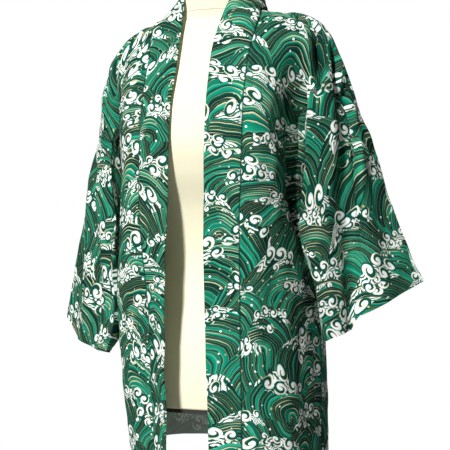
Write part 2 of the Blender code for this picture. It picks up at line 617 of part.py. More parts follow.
def dress_form(collection):
    """The padded torso, the cap on its neck and the plate under it."""
    jersey = material("jersey", (0.90, 0.84, 0.62), 0.90)
    rings = np.array([form_ring(row[0]) for row in FORM_SECTIONS])
    add(lofted_mesh("form_torso", rings), jersey, collection)

    dark = material("dark_trim", (0.020, 0.020, 0.018), 0.60)
    under = form_ring(FORM_SECTIONS[0][0], BASE_PLATE_INSET)
    under[:, 2] -= SEAM_GAP
    bottom = under.copy()
    bottom[:, 2] -= BASE_PLATE_HEIGHT
    add(lofted_mesh("form_base_plate", np.array([bottom, under])), dark, collection)

    neck = FORM_SECTIONS[-1]
    top = FORM_BASE_Z + neck[0] + SEAM_GAP
    radius = neck[2]
    cap = [
        (radius - 0.002, top),
        (radius, top + 0.003),
        (radius, top + 0.6 * NECK_CAP_HEIGHT),
        (0.85 * radius, top + 0.9 * NECK_CAP_HEIGHT),
        (0.45 * radius, top + NECK_CAP_HEIGHT),
    ]
    add(turned_mesh("form_neck_cap", cap, FORM_SIDES), dark, collection)


def stand(collection):
    """A round base on the floor, a pole, and the socket under the form."""
    steel = material("dark_steel", (0.050, 0.050, 0.055), 0.35, 1.0)
    base = [
        (STAND_RADIUS - 0.004, 0.0),
        (STAND_RADIUS, 0.004),
        (STAND_RADIUS, STAND_HEIGHT - 0.004),
        (STAND_RADIUS - 0.004, STAND_HEIGHT),
    ]
    add(turned_mesh("stand_base", base, 48), steel, collection)
    plate_under = FORM_BASE_Z + FORM_SECTIONS[0][0] - SEAM_GAP - BASE_PLATE_HEIGHT
    socket = [
        (SOCKET_RADIUS * 0.6, plate_under - SEAM_GAP - SOCKET_HEIGHT),
        (SOCKET_RADIUS * 0.6, plate_under - SEAM_GAP - 0.3 * SOCKET_HEIGHT),
        (SOCKET_RADIUS, plate_under - SEAM_GAP - 0.2 * SOCKET_HEIGHT),
        (SOCKET_RADIUS, plate_under - SEAM_GAP),
    ]
    add(turned_mesh("stand_socket", socket, 24), steel, collection)
    pole = [
        (POLE_RADIUS, STAND_HEIGHT + SEAM_GAP),
        (POLE_RADIUS, plate_under - 2 * SEAM_GAP - SOCKET_HEIGHT),
    ]
    add(turned_mesh("stand_pole", pole, 24), steel, collection)


def main():
    for thing in list(bpy.data.objects):
        bpy.data.objects.remove(thing, do_unlink=True)
    collection = bpy.data.collections.new("haori_jacket_on_dress_form")
    bpy.context.scene.collection.children.link(collection)
    jacket(collection)
    dress_form(collection)
    stand(collection)


main()
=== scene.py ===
"""Looks of the haori jacket on its dress form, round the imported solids."""

import math

import bpy
import numpy as np
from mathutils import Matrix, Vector


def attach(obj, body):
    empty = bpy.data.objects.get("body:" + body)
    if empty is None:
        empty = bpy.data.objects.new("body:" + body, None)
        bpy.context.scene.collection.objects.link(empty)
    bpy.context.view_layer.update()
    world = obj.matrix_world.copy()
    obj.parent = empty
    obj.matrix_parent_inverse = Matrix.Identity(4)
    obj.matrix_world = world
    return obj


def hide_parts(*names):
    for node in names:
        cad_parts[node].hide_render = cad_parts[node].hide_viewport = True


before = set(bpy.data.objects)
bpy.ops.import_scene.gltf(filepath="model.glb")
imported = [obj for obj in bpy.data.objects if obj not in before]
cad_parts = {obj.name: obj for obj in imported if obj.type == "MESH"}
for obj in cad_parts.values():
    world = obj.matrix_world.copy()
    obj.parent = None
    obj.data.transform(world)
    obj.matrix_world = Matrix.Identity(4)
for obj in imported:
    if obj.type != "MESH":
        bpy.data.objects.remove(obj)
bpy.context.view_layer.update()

# ---- driving dimensions, in metres ---------------------------------------------------------
BAND = 0.0030            # the neck band is folded double
SEAM_GAP = 0.0003        # between neighbouring pieces
EDGE_GAP = 0.55 * SEAM_GAP  # from the middle of a seam to a piece's edge
FORM_CLEARANCE = 0.0008  # from the jersey to the inside of the cloth
BAND_EASE = 0.0014       # more room for the band where it rounds the neck
FORM_BASE_Z = 0.790      # height on its stand of the level that garment sizes count from
ARMHOLE = 0.250          # depth of the armhole and of the sleeve, laid flat
FRONT_FOLD = 0.100       # from the shoulder down to the arm's front fold
HEM_DROP = 0.720         # shoulder to hem at the front edge
LOOK_CLOTH = 0.0010      # what one layer of the cotton measures
LOOK_CLEARANCE = 0.0022  # from the jersey to the middle of the creased cloth
HEM = 0.0022             # a cuff or a hem, turned up twice
HEM_DEPTH = 0.018
HEM_STEP = 0.002         # the width over which a hem thins out to one layer
ON_STAND = np.array([0.0, 0.0, FORM_BASE_Z])
AT_SEAM = 0.014          # a panel's edge is held still by its seam over this width
BELOW_SHOULDER = 0.006   # its creases start this far below the shoulder seam
FOLLOWING = 0.030        # and over this length a sleeve follows the panels' edges
BAND_ROLL = 0.004        # the width over which the band thins to its two folded edges
BAND_THIN = 0.45         # of its full thickness, at those edges

FOLD_ROWS = 60           # rows of faces from the shoulder to the arm's front fold
HEEL_ROWS = 18           # rows of faces from the front fold to the underarm
ARM_ROWS = FOLD_ROWS + HEEL_ROWS
SKIRT_ROWS = 88          # rows of faces from underarm to hem
PANEL_COLUMNS = 72       # columns of faces across a front, and across each back shoulder
NECK_COLUMNS = 42        # columns of faces round the back of the neck
EDGE_COLUMNS = 30        # columns that follow when a panel's edge is moved
BAND_COLUMNS = 14        # columns of faces across the neck band
SLEEVE_RINGS = 84        # rows of faces from armhole to cuff
UNDERARM_ROWS = 10       # rows above the underarm over which an armhole comes to rest
COVER_RINGS = 240        # rings of the form's cover, and its sides
COVER_SIDES = 180
LINE_STEPS = 120         # steps in which a line's length is measured
TINY = 1e-12             # keeps a length of 0 from dividing
SHARP_TURN = math.radians(60)  # between two faces whose shared edge looks sharp


def metres(table):
    """A nested table of millimetres, in metres."""
    if isinstance(table, (list, tuple)):
        return [metres(entry) for entry in table]
    return table / 1000


# ---- the dress form: height above its base, half width, depth to the front and to the back --
FORM_POWER = 2.3         # its sections are ellipses, slightly squared
FORM_SECTIONS = metres([
    (13, 141, 111, 108), (55, 145, 115, 113), (110, 145, 113, 113), (180, 133, 100, 98),
    (250, 120, 93, 84), (320, 126, 104, 86), (380, 137, 124, 93), (420, 142, 131, 97),
    (470, 145, 121, 100), (520, 153, 99, 98), (560, 165, 80, 88), (580, 169, 71, 79),
    (594, 162, 65, 73), (604, 145, 61, 68), (612, 120, 58, 63), (619, 92, 55, 58),
    (630, 68, 55, 56), (648, 57, 54.5, 54.5), (670, 55, 54.5, 54.5), (705, 54.5, 54.5, 54.5),
])

# ---- the fronts: rows from the shoulder down, each through points from the band seam to the
# ---- side seam; down to the underarm a row ends on the sleeve's edge, which isn't listed
LEFT_FRONT = metres([
    # drop, then band seam, chest, turn of the chest, valley by the arm, front of the arm
    (0, (75, -10, 632.5), (105, 0, 627.5), (140, 0, 623.5), (170, 0, 608), (195, 3, 568)),
    (40, (89, -50, 614), (117, -42, 610), (146, -38, 603), (170, -33, 585), (190, -28, 552)),
    (100, (92, -95, 562), (115, -90, 558), (139, -76, 545), (153, -56, 525), (164, -52, 511)),
    (170, (94, -122, 490), (112, -120, 487), (129, -104, 477), (139, -64, 458), (149, -46, 446)),
    (250, (95, -131, 410), (112, -128, 408), (130, -108, 402), (140, -64, 388), (147, -22, 379)),
    (350, (92, -132, 310), (113, -128, 308), (133, -104, 306), (147, -62, 303), (153, -22, 300),
     (154, 12, 298)),
    (500, (92, -130, 160), (115, -126, 160), (140, -100, 160), (155, -60, 160), (162, -22, 160),
     (164, 12, 160)),
    (720, (94, -126, -60), (117, -122, -60), (143, -96, -60), (158, -58, -60), (164, -22, -60),
     (166, 12, -60)),
])
RIGHT_FRONT = metres([
    (0, (-94, -8, 627), (-118, 0, 619), (-142, 0, 614), (-172, 0, 598), (-206, 3, 542)),
    (40, (-89, -45, 610), (-115, -40, 604), (-143, -38, 594), (-168, -34, 575), (-193, -28, 520)),
    (100, (-82, -92, 555), (-107, -88, 548), (-135, -77, 525), (-152, -59, 488), (-162, -55, 452)),
    (170, (-80, -119, 485), (-104, -117, 480), (-128, -104, 462), (-141, -66, 428),
     (-150, -48, 403)),
    (250, (-79, -128, 405), (-104, -122, 401), (-129, -100, 386), (-141, -60, 360),
     (-148, -20, 343)),
    (350, (-76, -132, 305), (-100, -124, 303), (-129, -98, 296), (-144, -60, 284), (-151, -22, 279),
     (-154, 12, 275)),
    (500, (-60, -132, 155), (-90, -126, 155), (-132, -98, 155), (-150, -60, 155), (-158, -22, 155),
     (-161, 12, 155)),
    (600, (-58, -128, 56), (-87, -124, 56), (-122, -100, 56), (-139, -62, 56), (-149, -22, 56),
     (-153, 12, 56)),
    (720, (-56, -120, -60), (-80, -118, -60), (-106, -98, -60), (-122, -60, -60), (-132, -22, -60),
     (-138, 12, -60)),
])

# ---- the back: the fronts' rows, from the middle of the back out to the edge they share -----
BACK_MIDDLE = metres([
    # drop, y, z at the middle of the back
    (40, 83, 606), (100, 102, 552), (170, 108, 483), (250, 108, 404), (350, 106, 305),
    (500, 115, 156), (720, 122, -60),
])
LEFT_BACK = metres([
    # below the neck's side, shoulder blade, valley by the arm, back of the arm
    ((85, 66, 612), (138, 50, 602), (168, 42, 580), (189, 40, 540)),
    ((88, 96, 552), (135, 82, 535), (158, 68, 500), (170, 60, 462)),
    ((90, 103, 483), (132, 88, 470), (150, 66, 442), (160, 47, 418)),
    ((90, 102, 404), (131, 85, 396), (147, 58, 383), (153, 33, 376)),
    ((90, 99, 305), (134, 82, 305), (150, 55, 302), (156, 33, 300)),
    ((92, 108, 156), (140, 86, 158), (157, 56, 160), (164, 33, 160)),
    ((92, 115, -60), (141, 90, -60), (159, 60, -60), (166, 34, -60)),
])
RIGHT_BACK = metres([
    ((-90, 64, 608), (-140, 50, 594), (-170, 42, 564), (-194, 40, 498)),
    ((-90, 95, 550), (-135, 82, 524), (-158, 68, 470), (-172, 60, 415)),
    ((-90, 103, 482), (-132, 88, 460), (-150, 66, 415), (-161, 47, 375)),
    ((-90, 102, 403), (-131, 85, 388), (-147, 58, 358), (-153, 33, 340)),
    ((-90, 99, 304), (-132, 82, 298), (-149, 55, 285), (-155, 33, 279)),
    ((-90, 108, 156), (-136, 86, 156), (-154, 56, 155), (-161, 33, 155)),
    ((-88, 115, -60), (-124, 92, -60), (-137, 60, -60), (-140, 34, -60)),
])

# ---- the sleeves: rows from armhole to cuff, measured along the top fold -------------------
LEFT_SLEEVE = metres([
    # along, then top fold, crown, front fold, heel, underarm seam, back of the arm
    (0, (217, 10, 510), (199, -36, 512), (171, -62, 500), (160, -36, 444), (156, 9, 372),
     (180, 67, 462)),
    (90, (241, 33, 425), (220, -30, 424), (175, -72, 400), (171, -58, 360), (174, -28, 325),
     (212, 64, 388)),
    (160, (260, 47, 358), (240, -8, 340), (167, -80, 296), (170, -73, 291), (175, -64, 288),
     (206, 30, 322)),
    (240, (283, 63, 280), (256, 6, 257), (187, -70, 208), (190, -65, 206), (194, -58, 205),
     (224, 24, 248)),
    (325, (313, 77, 208), (280, 18, 182), (197, -61, 123.5), (200, -56, 123.5), (204, -50, 125),
     (243, 26, 178)),
])
RIGHT_SLEEVE = metres([
    (0, (-229, 10, 438), (-205, -34, 440), (-166, -62, 428), (-159, -38, 383), (-156, 9, 322),
     (-184, 65, 398)),
    (80, (-249, 18, 363), (-220, -30, 362), (-160, -74, 345), (-163, -60, 312), (-170, -32, 286),
     (-212, 52, 332)),
    (150, (-267.5, 24, 295), (-232, -18, 286), (-154, -84, 258), (-159, -78, 254), (-165, -70, 251),
     (-206, 18, 272)),
    (230, (-288, 30, 218), (-246, -10, 198), (-151, -83, 160), (-155, -78, 158), (-161, -70, 157),
     (-214, 12, 190)),
    (315, (-306, 36, 137), (-258, -5, 108), (-170, -77, 91.6), (-174, -72, 91.6), (-180, -64, 93),
     (-228, 12, 118)),
])

# ---- the neck band's free edge, by the front rows, then round the back of the neck ---------
LEFT_BAND_EDGE = metres([
    (0, (47, -38, 663)), (40, (38.5, -58, 640)), (100, (34.5, -103, 573)), (170, (36, -128, 497)),
    (250, (36.4, -138, 412)), (350, (35.7, -140, 310)), (500, (39, -141, 160)),
    (720, (45, -138, -60)),
])
RIGHT_BAND_EDGE = metres([
    (0, (-49, -37, 660)), (40, (-38.5, -58, 640)), (100, (-25.5, -105, 566)),
    (170, (-23.5, -130, 490)), (250, (-22.8, -139, 405)), (350, (-24, -146, 305)),
    (500, (-20, -158, 155)), (720, (-21, -148, -60)),
])
NECKLINE = metres([(64, 38, 640), (0, 73, 643), (-76, 38, 637)])
BAND_NECK_EDGE = metres([(56, 24, 684), (0, 66, 695), (-60, 26, 682)])
BAND_START = 0.10        # down the band, where it passes the middle of the neck
BAND_HALVES = 4.4        # between the two halves of the band on the printed cotton
ON_CHEST = metres([
    # height, how far the right half of the band lies back on the chest
    (420, 0), (450, 4), (490, 11), (530, 17), (566, 18), (600, 13), (640, 0),
])
CHEST_TURN = math.radians(25.0)  # it lies back this far to the form's right of straight back

# ---- folds: soft troughs (negative) and ridges (positive) pressed into a sleeve ------------
# ---- each runs from armhole to cuff, its place given as a fraction of its layer's width
SLEEVE_FRONT_FOLDS = [
    # at the armhole, at the cuff, half width, depth at the armhole, depth at the cuff
    (0.38, 0.68, 0.11, -0.0100, -0.0140),
    (0.22, 0.48, 0.13, 0.0040, 0.0060),
]
SLEEVE_BACK_FOLDS = [(0.30, 0.52, 0.12, -0.0060, -0.0090)]

# ---- creases: millimetres on the cut piece, across from its first edge and down from its first
# ---- row; a crease is narrow on one side and wide on the other, and fades out at both ends
FRONT_LEFT_CREASES = [
    # from (across, down), to (across, down), width before, width after, depth, sharpness
    (83, -15, 147, 105, 22, 6, -25, 1.0),
    (144, -30, 222, 120, 22, 6, -22, 1.0),
    (155, 0, 150, 60, 8, 10, -3, 0.0),
    (12, 12, 40, 45, 6, 8, -1.2, 0.5),
    (116, 30, 128, 440, 34, 8, -20, 0.8),
    (60, 150, 85, 330, 18, 16, -1.2, 0.0),
    (105, 270, 118, 520, 16, 24, 2.2, 0.0),
    (50, 420, 38, 700, 20, 26, -2.2, 0.0),
    (120, 470, 100, 720, 18, 22, -2.6, 0.0),
]
FRONT_RIGHT_CREASES = [
    (72, -10, 167, 210, 7, 20, -29, 0.9),
    (150, 0, 128, 85, 12, 10, -2.6, 0.0),
    (40, 160, 62, 300, 16, 18, -1.4, 0.0),
    (100, 240, 85, 480, 18, 24, 2, 0.0),
    (45, 400, 30, 690, 18, 22, -2.2, 0.0),
    (115, 450, 90, 720, 20, 20, -3, 0.0),
]
BACK_CREASES = [
    # across from the left armhole
    (120, 0, 60, 110, 10, 14, -3, 0.3),
    (400, 0, 470, 120, 14, 10, -3, 0.3),
    (60, 130, 110, 360, 18, 14, -3, 0.2),
    (420, 150, 360, 380, 14, 20, -3, 0.2),
    (180, 330, 150, 700, 22, 26, -3.6, 0.0),
    (265, 360, 275, 715, 26, 22, 3, 0.0),
    (350, 380, 375, 700, 22, 20, -3.4, 0.0),
]
LEFT_SLEEVE_CREASES = [
    # across is 0 on the top fold, less in front of it and more behind
    (33, -130, -108, 270, 26, 6, -26, 1.0),
    (-74, 130, -190, 470, 28, 7, -9, 1.0),
    (-12, 0, -52, 240, 12, 12, -2.2, 0.2),
    (-85, 0, -110, 120, 9, 10, -2, 0.2),
    (-100, 120, -180, 330, 14, 12, -2, 0.0),
    (50, -10, 75, 330, 12, 20, -5, 0.4),
    (110, 0, 130, 200, 12, 12, -3, 0.2),
    (30, 120, 40, 330, 14, 10, -2.2, 0.0),
]
RIGHT_SLEEVE_CREASES = [
    (-50, 30, -142, 400, 22, 20, 11, 0.0),
    (-112, 130, -118, 300, 10, 8, -3, 0.4),
    (-60, 20, -85, 260, 12, 14, -2.4, 0.2),
    (-20, 50, -50, 310, 12, 12, -2.4, 0.2),
    (-200, 100, -215, 330, 20, 20, 9, 0.0),
    (50, -10, 80, 330, 12, 20, -5, 0.4),
    (112, 50, 118, 290, 40, 45, 5, 0.0),
]
BAND_CREASES = [
    (10, 85, 35, 150, 8, 10, -1.2, 0.2),
    (50, 110, 20, 190, 8, 12, -1, 0.2),
    (30, 300, 34, 620, 14, 14, -1, 0.0),
]
UNEVENNESS = [
    # wave length and swing in metres, number of waves
    (0.150, 0.0009, 5), (0.060, 0.00035, 7), (0.026, 0.00012, 8),
]
# how far a sleeve is drawn one way beside a fold: the same columns, then the way;
# across is 0 at the underarm, more in front of it and less behind
LEFT_SLEEVE_PULLS = [(57, 80, 106, 600, 80, 7, 16, 1.0, (0, 0, -1))]
RIGHT_SLEEVE_PULLS = [
    (57, 120, 95, 600, 26, 20, 4.2, 0.0, (0, 0, -1)),
    (79, -105, 19, 250, 50, 40, 9, 1.0, (0.91, 0.42, 0)),
    (27, 170, -11, 370, 22, 40, 10, 1.0, (0.91, 0.42, 0)),
]

PRINT_PLACES = {
    # where on the printed cotton each piece was cut: across, down
    "front_left": (1.31, 0.0),
    "front_right": (3.48, 0.40),
    "back": (6.03, 0.23),
    "sleeve_left": (8.2, 0.0),
    "sleeve_right": (10.1, 0.31),
    "neck_band": (12.6, 0.0),
}


# ---- curves and surfaces -------------------------------------------------------------------
def unit(vectors):
    """The vectors, each with a length of 1."""
    return vectors / np.maximum(np.linalg.norm(vectors, axis=-1, keepdims=True), TINY)


def smooth(x):
    """0 below 0, 1 above 1, and an even rise between."""
    x = np.clip(x, 0, 1)
    return x * x * (3 - 2 * x)


def lengths(points):
    """How far each point of a line, or of each row of a grid, lies along it from its first."""
    steps = np.linalg.norm(np.diff(points, axis=-2), axis=-1)
    return np.cumsum(np.concatenate([np.zeros_like(steps[..., :1]), steps], axis=-1), axis=-1)


def through(knots, values, at):
    """A smooth line through each row of values at its knot, read at the places in at."""
    knots = np.asarray(knots, float)
    values = np.asarray(values, float)
    upright = (-1,) + (1,) * (values.ndim - 1)
    at = np.clip(np.asarray(at, float), knots[0], knots[-1])
    gaps = np.diff(knots).reshape(upright)
    slopes = np.diff(values, axis=0) / gaps
    inner = (slopes[:-1] * gaps[1:] + slopes[1:] * gaps[:-1]) / (gaps[:-1] + gaps[1:])
    first = 1.5 * slopes[:1] - 0.5 * inner[:1]
    last = 1.5 * slopes[-1:] - 0.5 * inner[-1:]
    tangents = np.concatenate([first, inner, last])
    i = np.clip(np.searchsorted(knots, at, side="right") - 1, 0, len(knots) - 2)
    step = gaps[i]
    f = (at - knots[i]).reshape(upright) / step
    return (
        (2 * f**3 - 3 * f**2 + 1) * values[i]
        + (f**3 - 2 * f**2 + f) * step * tangents[i]
        + (3 * f**2 - 2 * f**3) * values[i + 1]
        + (f**3 - f**2) * step * tangents[i + 1]
    )


def along(points, fractions):
    """Places at the given fractions of the length of a smooth line through points."""
    chord = lengths(points)
    fine = through(chord, points, np.linspace(0, chord[-1], LINE_STEPS))
    length = lengths(fine)
    want = np.asarray(fractions) * length[-1]
    return np.stack([np.interp(want, length, fine[:, k]) for k in range(3)], axis=1)


def normals_of(grid, closed=False):
    """A unit normal at each point of a grid of points; closed grids wrap along their rows."""
    if closed:
        across = np.roll(grid, -1, axis=1) - np.roll(grid, 1, axis=1)
    else:
        across = np.gradient(grid, axis=1)
    return unit(np.cross(np.gradient(grid, axis=0), across))


# ---- the form's surface --------------------------------------------------------------------
def form_measure(points):
    """1 on the form's surface, less inside it and more outside."""
    table = np.array(FORM_SECTIONS)
    width, front, back = through(table[:, 0], table[:, 1:], points[:, 2]).T
    depth = np.where(points[:, 1] < 0, front, back)
    spread = (np.abs(points[:, 0]) / width) ** FORM_POWER
    return (spread + (np.abs(points[:, 1]) / depth) ** FORM_POWER) ** (1 / FORM_POWER)


def clear_of_form(grid, clearance):
    """The grid with every point that is too near the form moved out to the clearance."""
    points = grid.reshape(-1, 3).copy()
    rounds = 6
    furthest = 0.01      # that a point moves in one round
    foot = FORM_SECTIONS[0][0] - 0.01
    apart = 0.0005       # between the places that a slope is measured from
    for _ in range(rounds):
        here = form_measure(points)
        slope = np.stack(
            [
                (form_measure(points + step) - form_measure(points - step)) / (2 * apart)
                for step in np.eye(3) * apart
            ],
            axis=1,
        )
        steep = np.maximum(np.linalg.norm(slope, axis=1), 1e-6)
        short = clearance - (here - 1) / steep
        move = np.where((short > 0) & (points[:, 2] > foot), np.minimum(short, furthest), 0)
        points += move[:, None] * slope / steep[:, None]
    return points.reshape(grid.shape)


# ---- the garment's surfaces, as grids of points in the middle of each wall -----------------
def fold_height(folds, across, down):
    """How far the folds move each point out of its layer; nothing at its edges and armhole."""
    height = np.zeros(across.shape)
    for at_armhole, at_cuff, half_width, first_depth, last_depth in folds:
        middle = at_armhole + (at_cuff - at_armhole) * down
        depth = first_depth + (last_depth - first_depth) * down
        height += depth * np.exp(-(((across - middle) / half_width) ** 2))
    from_edge, from_armhole = 8, 5  # how steeply a fold rises from them
    near_edge = np.clip(from_edge * np.minimum(across, 1 - across), 0, 1)
    return height * near_edge * np.clip(from_armhole * down, 0, 1)


def sleeve_layers(table, distances):
    """The front and back layers of a sleeve, each from its top fold to its underarm seam."""
    stations = through([row[0] for row in table], [row[1:] for row in table], distances)
    to_fold, to_heel, all_the_way = [
        np.linspace(0, 1, rows + 1) for rows in (FOLD_ROWS, HEEL_ROWS, ARM_ROWS)
    ]
    fronts = []
    backs = []
    for top, crown, fold, heel, under, back in stations:
        upper = along([top, crown, fold], to_fold)
        fronts.append(np.concatenate([upper, along([fold, heel, under], to_heel)[1:]]))
        backs.append(along([top, back, under], all_the_way))
    return np.array(fronts), np.array(backs)


def sleeve_grid(table, facing):
    """A sleeve's tube: rings from the armhole to the cuff, front layer first."""
    long = table[-1][0]
    distances = np.linspace(0, long, SLEEVE_RINGS + 1)
    front, back = sleeve_layers(table, distances)
    steps = np.arange(ARM_ROWS + 1)
    down, across = np.meshgrid(distances / long, steps / FOLD_ROWS, indexing="ij")
    lift = fold_height(SLEEVE_FRONT_FOLDS, np.minimum(across, 1), down)
    front += lift[..., None] * normals_of(front) * facing
    lift = fold_height(SLEEVE_BACK_FOLDS, across * FOLD_ROWS / ARM_ROWS, down)
    back -= lift[..., None] * normals_of(back) * facing
    return np.concatenate([front, back[:, -2:0:-1]], axis=1)


def drops():
    """How far below the shoulder each row of a panel lies."""
    return np.concatenate(
        [
            np.linspace(0, FRONT_FOLD, FOLD_ROWS + 1),
            np.linspace(FRONT_FOLD, ARMHOLE, HEEL_ROWS + 1)[1:],
            np.linspace(ARMHOLE, HEM_DROP, SKIRT_ROWS + 1)[1:],
        ]
    )


def outer_edge(table, armhole, drop):
    """The outer end of a panel's row: on the armhole, and on the side seam below it."""
    if drop > ARMHOLE:
        return next(row[-1] for row in table if row[0] == drop)
    return [np.interp(drop, drops()[: ARM_ROWS + 1], armhole[:, k]) for k in range(3)]


def move_edge(grid, rows, column, wanted):
    """Move part of a panel's edge to the wanted points; its next columns follow less and less."""
    shift = wanted - grid[rows, column]
    step = 1 if column == 0 else -1
    for k in range(EDGE_COLUMNS):
        grid[rows, column + k * step] += shift * (1 - k / EDGE_COLUMNS)


def front_grid(table, armhole):
    """A front panel: rows from the shoulder to the hem, each from band seam to outer edge."""
    fractions = np.linspace(0, 1, PANEL_COLUMNS + 1)
    rows = [
        along([*points[:5], outer_edge(table, armhole, drop)], fractions)
        for drop, *points in table
    ]
    grid = through([row[0] for row in table], rows, drops())
    move_edge(grid, slice(0, ARM_ROWS + 1), -1, armhole)
    return grid


def back_grid(fronts, armholes):
    """The back panel: rows from the shoulders and neck to the hem, left side first."""
    fractions = np.linspace(0, 1, PANEL_COLUMNS + 1)
    neck = along([fronts[0][0, 0], *NECKLINE, fronts[1][0, 0]], np.linspace(0, 1, NECK_COLUMNS + 1))
    top = np.concatenate([fronts[0][0, ::-1], neck[1:-1], fronts[1][0]])
    rows = [top]
    for (drop, y, z), left, right in zip(BACK_MIDDLE, LEFT_BACK, RIGHT_BACK):
        first, last = [
            outer_edge(table, armhole, drop)
            for table, armhole in zip((LEFT_FRONT, RIGHT_FRONT), armholes)
        ]
        line = [first, *left[::-1], (0.0, y, z), *right, last]
        far = lengths(line)
        left_neck, right_neck = far[[4, 6]] / far[-1]
        spread = [
            fractions * left_neck,
            np.linspace(left_neck, right_neck, NECK_COLUMNS + 1)[1:-1],
            right_neck + fractions * (1 - right_neck),
        ]
        rows.append(along(line, np.concatenate(spread)))
    grid = through([0.0] + [row[0] for row in BACK_MIDDLE], rows, drops())
    grid[0] = top
    for edge, armhole, front in zip((0, -1), armholes, fronts):
        move_edge(grid, slice(0, ARM_ROWS + 1), edge, armhole)
        move_edge(grid, slice(ARM_ROWS + 1, None), edge, front[ARM_ROWS + 1 :, -1])
    return grid


def band_grid(fronts, back):
    """The neck band: from the left hem, round the neck, to the right hem; seam edge first."""
    neck = slice(PANEL_COLUMNS, PANEL_COLUMNS + NECK_COLUMNS + 1)
    seam = np.concatenate([fronts[0][::-1, 0], back[0, neck][1:-1], fronts[1][:, 0]])
    left = through(*zip(*LEFT_BAND_EDGE), drops())
    right = through(*zip(*RIGHT_BAND_EDGE), drops())
    round_neck = along([left[0], *BAND_NECK_EDGE, right[0]], np.linspace(0, 1, NECK_COLUMNS + 1))
    free = np.concatenate([left[::-1], round_neck[1:-1], right])
    across = np.linspace(0, 1, BAND_COLUMNS + 1)[None, :, None]
    return seam[:, None] * (1 - across) + free[:, None] * across


def garment_grids():
    """The middle surface of every cut piece, each clear of the form beneath it."""
    armholes = [sleeve_layers(table, [0.0]) for table in (LEFT_SLEEVE, RIGHT_SLEEVE)]
    fronts = [
        front_grid(table, front[0])
        for table, (front, _) in zip((LEFT_FRONT, RIGHT_FRONT), armholes)
    ]
    back = back_grid(fronts, [back[0] for _, back in armholes])
    band = band_grid(fronts, back)
    sleeves = [sleeve_grid(LEFT_SLEEVE, -1), sleeve_grid(RIGHT_SLEEVE, 1)]
    clearance = BAND / 2 + FORM_CLEARANCE
    fronts = [clear_of_form(grid, clearance) for grid in fronts]
    sleeves = [clear_of_form(grid, clearance) for grid in sleeves]
    back = clear_of_form(back, clearance)
    seam = clear_of_form(band[:, 0], clearance)
    band = clear_of_form(band, clearance + BAND_EASE)
    band[:, 0] = seam
    return fronts, back, band, sleeves


EDGES = {
    "first_row": (np.s_[0], np.s_[1]),
    "first_column": (np.s_[:, 0], np.s_[:, 1]),
    "last_column": (np.s_[:, -1], np.s_[:, -2]),
}


def draw_in(grid, edges):
    """The grid with the named edges moved a little into the panel, away from their seams."""
    moved = grid.copy()
    for edge in edges:
        here, inside = EDGES[edge]
        line = unit(np.gradient(grid[here], axis=0))
        inward = grid[inside] - grid[here]
        inward -= line * (inward * line).sum(axis=1, keepdims=True)
        moved[here] += unit(inward) * EDGE_GAP
    return moved


def share_normals(*edges):
    """Give meeting edges one normal, so that their walls end face to face."""
    mean = unit(sum(normal[place] for normal, place in edges))
    for normal, place in edges:
        normal[place] = mean


# ---- creases and puckers, for looks --------------------------------------------------------
def crease_height(creases, across, down):
    """The height that the creases add at places on a cut piece."""
    wander, turns = 0.004, 38      # a crease's line swings a little, by this much and this often
    fade_in, fade_out = 0.25, 0.30  # of its length
    corner = 8                     # how tightly a sharp one is folded
    height = np.zeros(across.shape)
    for *sizes, sharpness in creases:
        a0, d0, a1, d1, before, after, depth = metres(sizes)
        length = math.hypot(a1 - a0, d1 - d0)
        ca, cd = (a1 - a0) / length, (d1 - d0) / length
        run = (across - a0) * ca + (down - d0) * cd
        side = (across - a0) * cd - (down - d0) * ca
        side = side + wander * np.sin(run * turns + a0 * 90)
        far = np.abs(side / np.where(side < 0, before, after))
        fade = smooth(run / (fade_in * length)) * smooth((length - run) / (fade_out * length))
        round_one = 1 / (1 + far**2) ** 1.5
        folded = np.log1p(np.exp(corner * (1 - far))) / corner
        height += depth * fade * (round_one + sharpness * (folded - round_one))
    return height


def drawn(pulls, across, down):
    """How far the pulls move the places on a cut piece."""
    moved = np.zeros((*across.shape, 3))
    for *crease, way in pulls:
        moved += crease_height([crease], across, down)[..., None] * np.array(way)
    return moved


def rumple(across, down, seed):
    """Slow unevenness of hanging cloth, and finer unevenness on top of it."""
    random = np.random.default_rng(seed)
    height = np.zeros(across.shape)
    for wave_length, swing, count in UNEVENNESS:
        for _ in range(count):
            turn = random.uniform(-0.9, 0.9)
            phase = random.uniform(0, 2 * math.pi)
            k = 2 * math.pi / (wave_length * random.uniform(0.7, 1.4))
            height += swing * np.sin(k * (across * math.cos(turn) + down * math.sin(turn)) + phase)
    return height


def pucker(distance, place, seed, swing=0.0006, reach=0.010, pitch=0.013):
    """Small gathers that a line of machine stitches leaves beside a seam."""
    waves = 4
    crowding = 2.5       # how high that many waves mostly reach together
    stitches = 0.003     # the width beside the seam that its stitches hold flatter
    random = np.random.default_rng(seed)
    wave = np.zeros(np.broadcast(distance, place).shape)
    for _ in range(waves):
        k = 2 * math.pi / (pitch * random.uniform(0.7, 1.6))
        wave += np.sin(k * place + random.uniform(0, 2 * math.pi)) / crowding
    return swing * wave * np.exp(-distance / reach) * smooth(distance / stitches)


# ---- meshes --------------------------------------------------------------------------------
def put(data):
    """A new object in the scene, named after its data."""
    made = bpy.data.objects.new(data.name, data)
    bpy.context.scene.collection.objects.link(made)
    return made


def new_mesh(name, points, faces, *materials):
    mesh = bpy.data.meshes.new(name)
    mesh.from_pydata(points.reshape(-1, 3).tolist(), [], faces)
    for made in materials:
        mesh.materials.append(made)
    return mesh


def numbered(rows, columns, closed):
    """The numbers of a grid's points, the first column again at the end if it is closed."""
    number = np.arange(rows * columns).reshape(rows, columns)
    return np.concatenate([number, number[:, :1]], axis=1) if closed else number


def corners_of(grid):
    """What a grid holds at the four corners of each of its faces."""
    return np.stack([grid[:-1, :-1], grid[:-1, 1:], grid[1:, 1:], grid[1:, :-1]], axis=2)


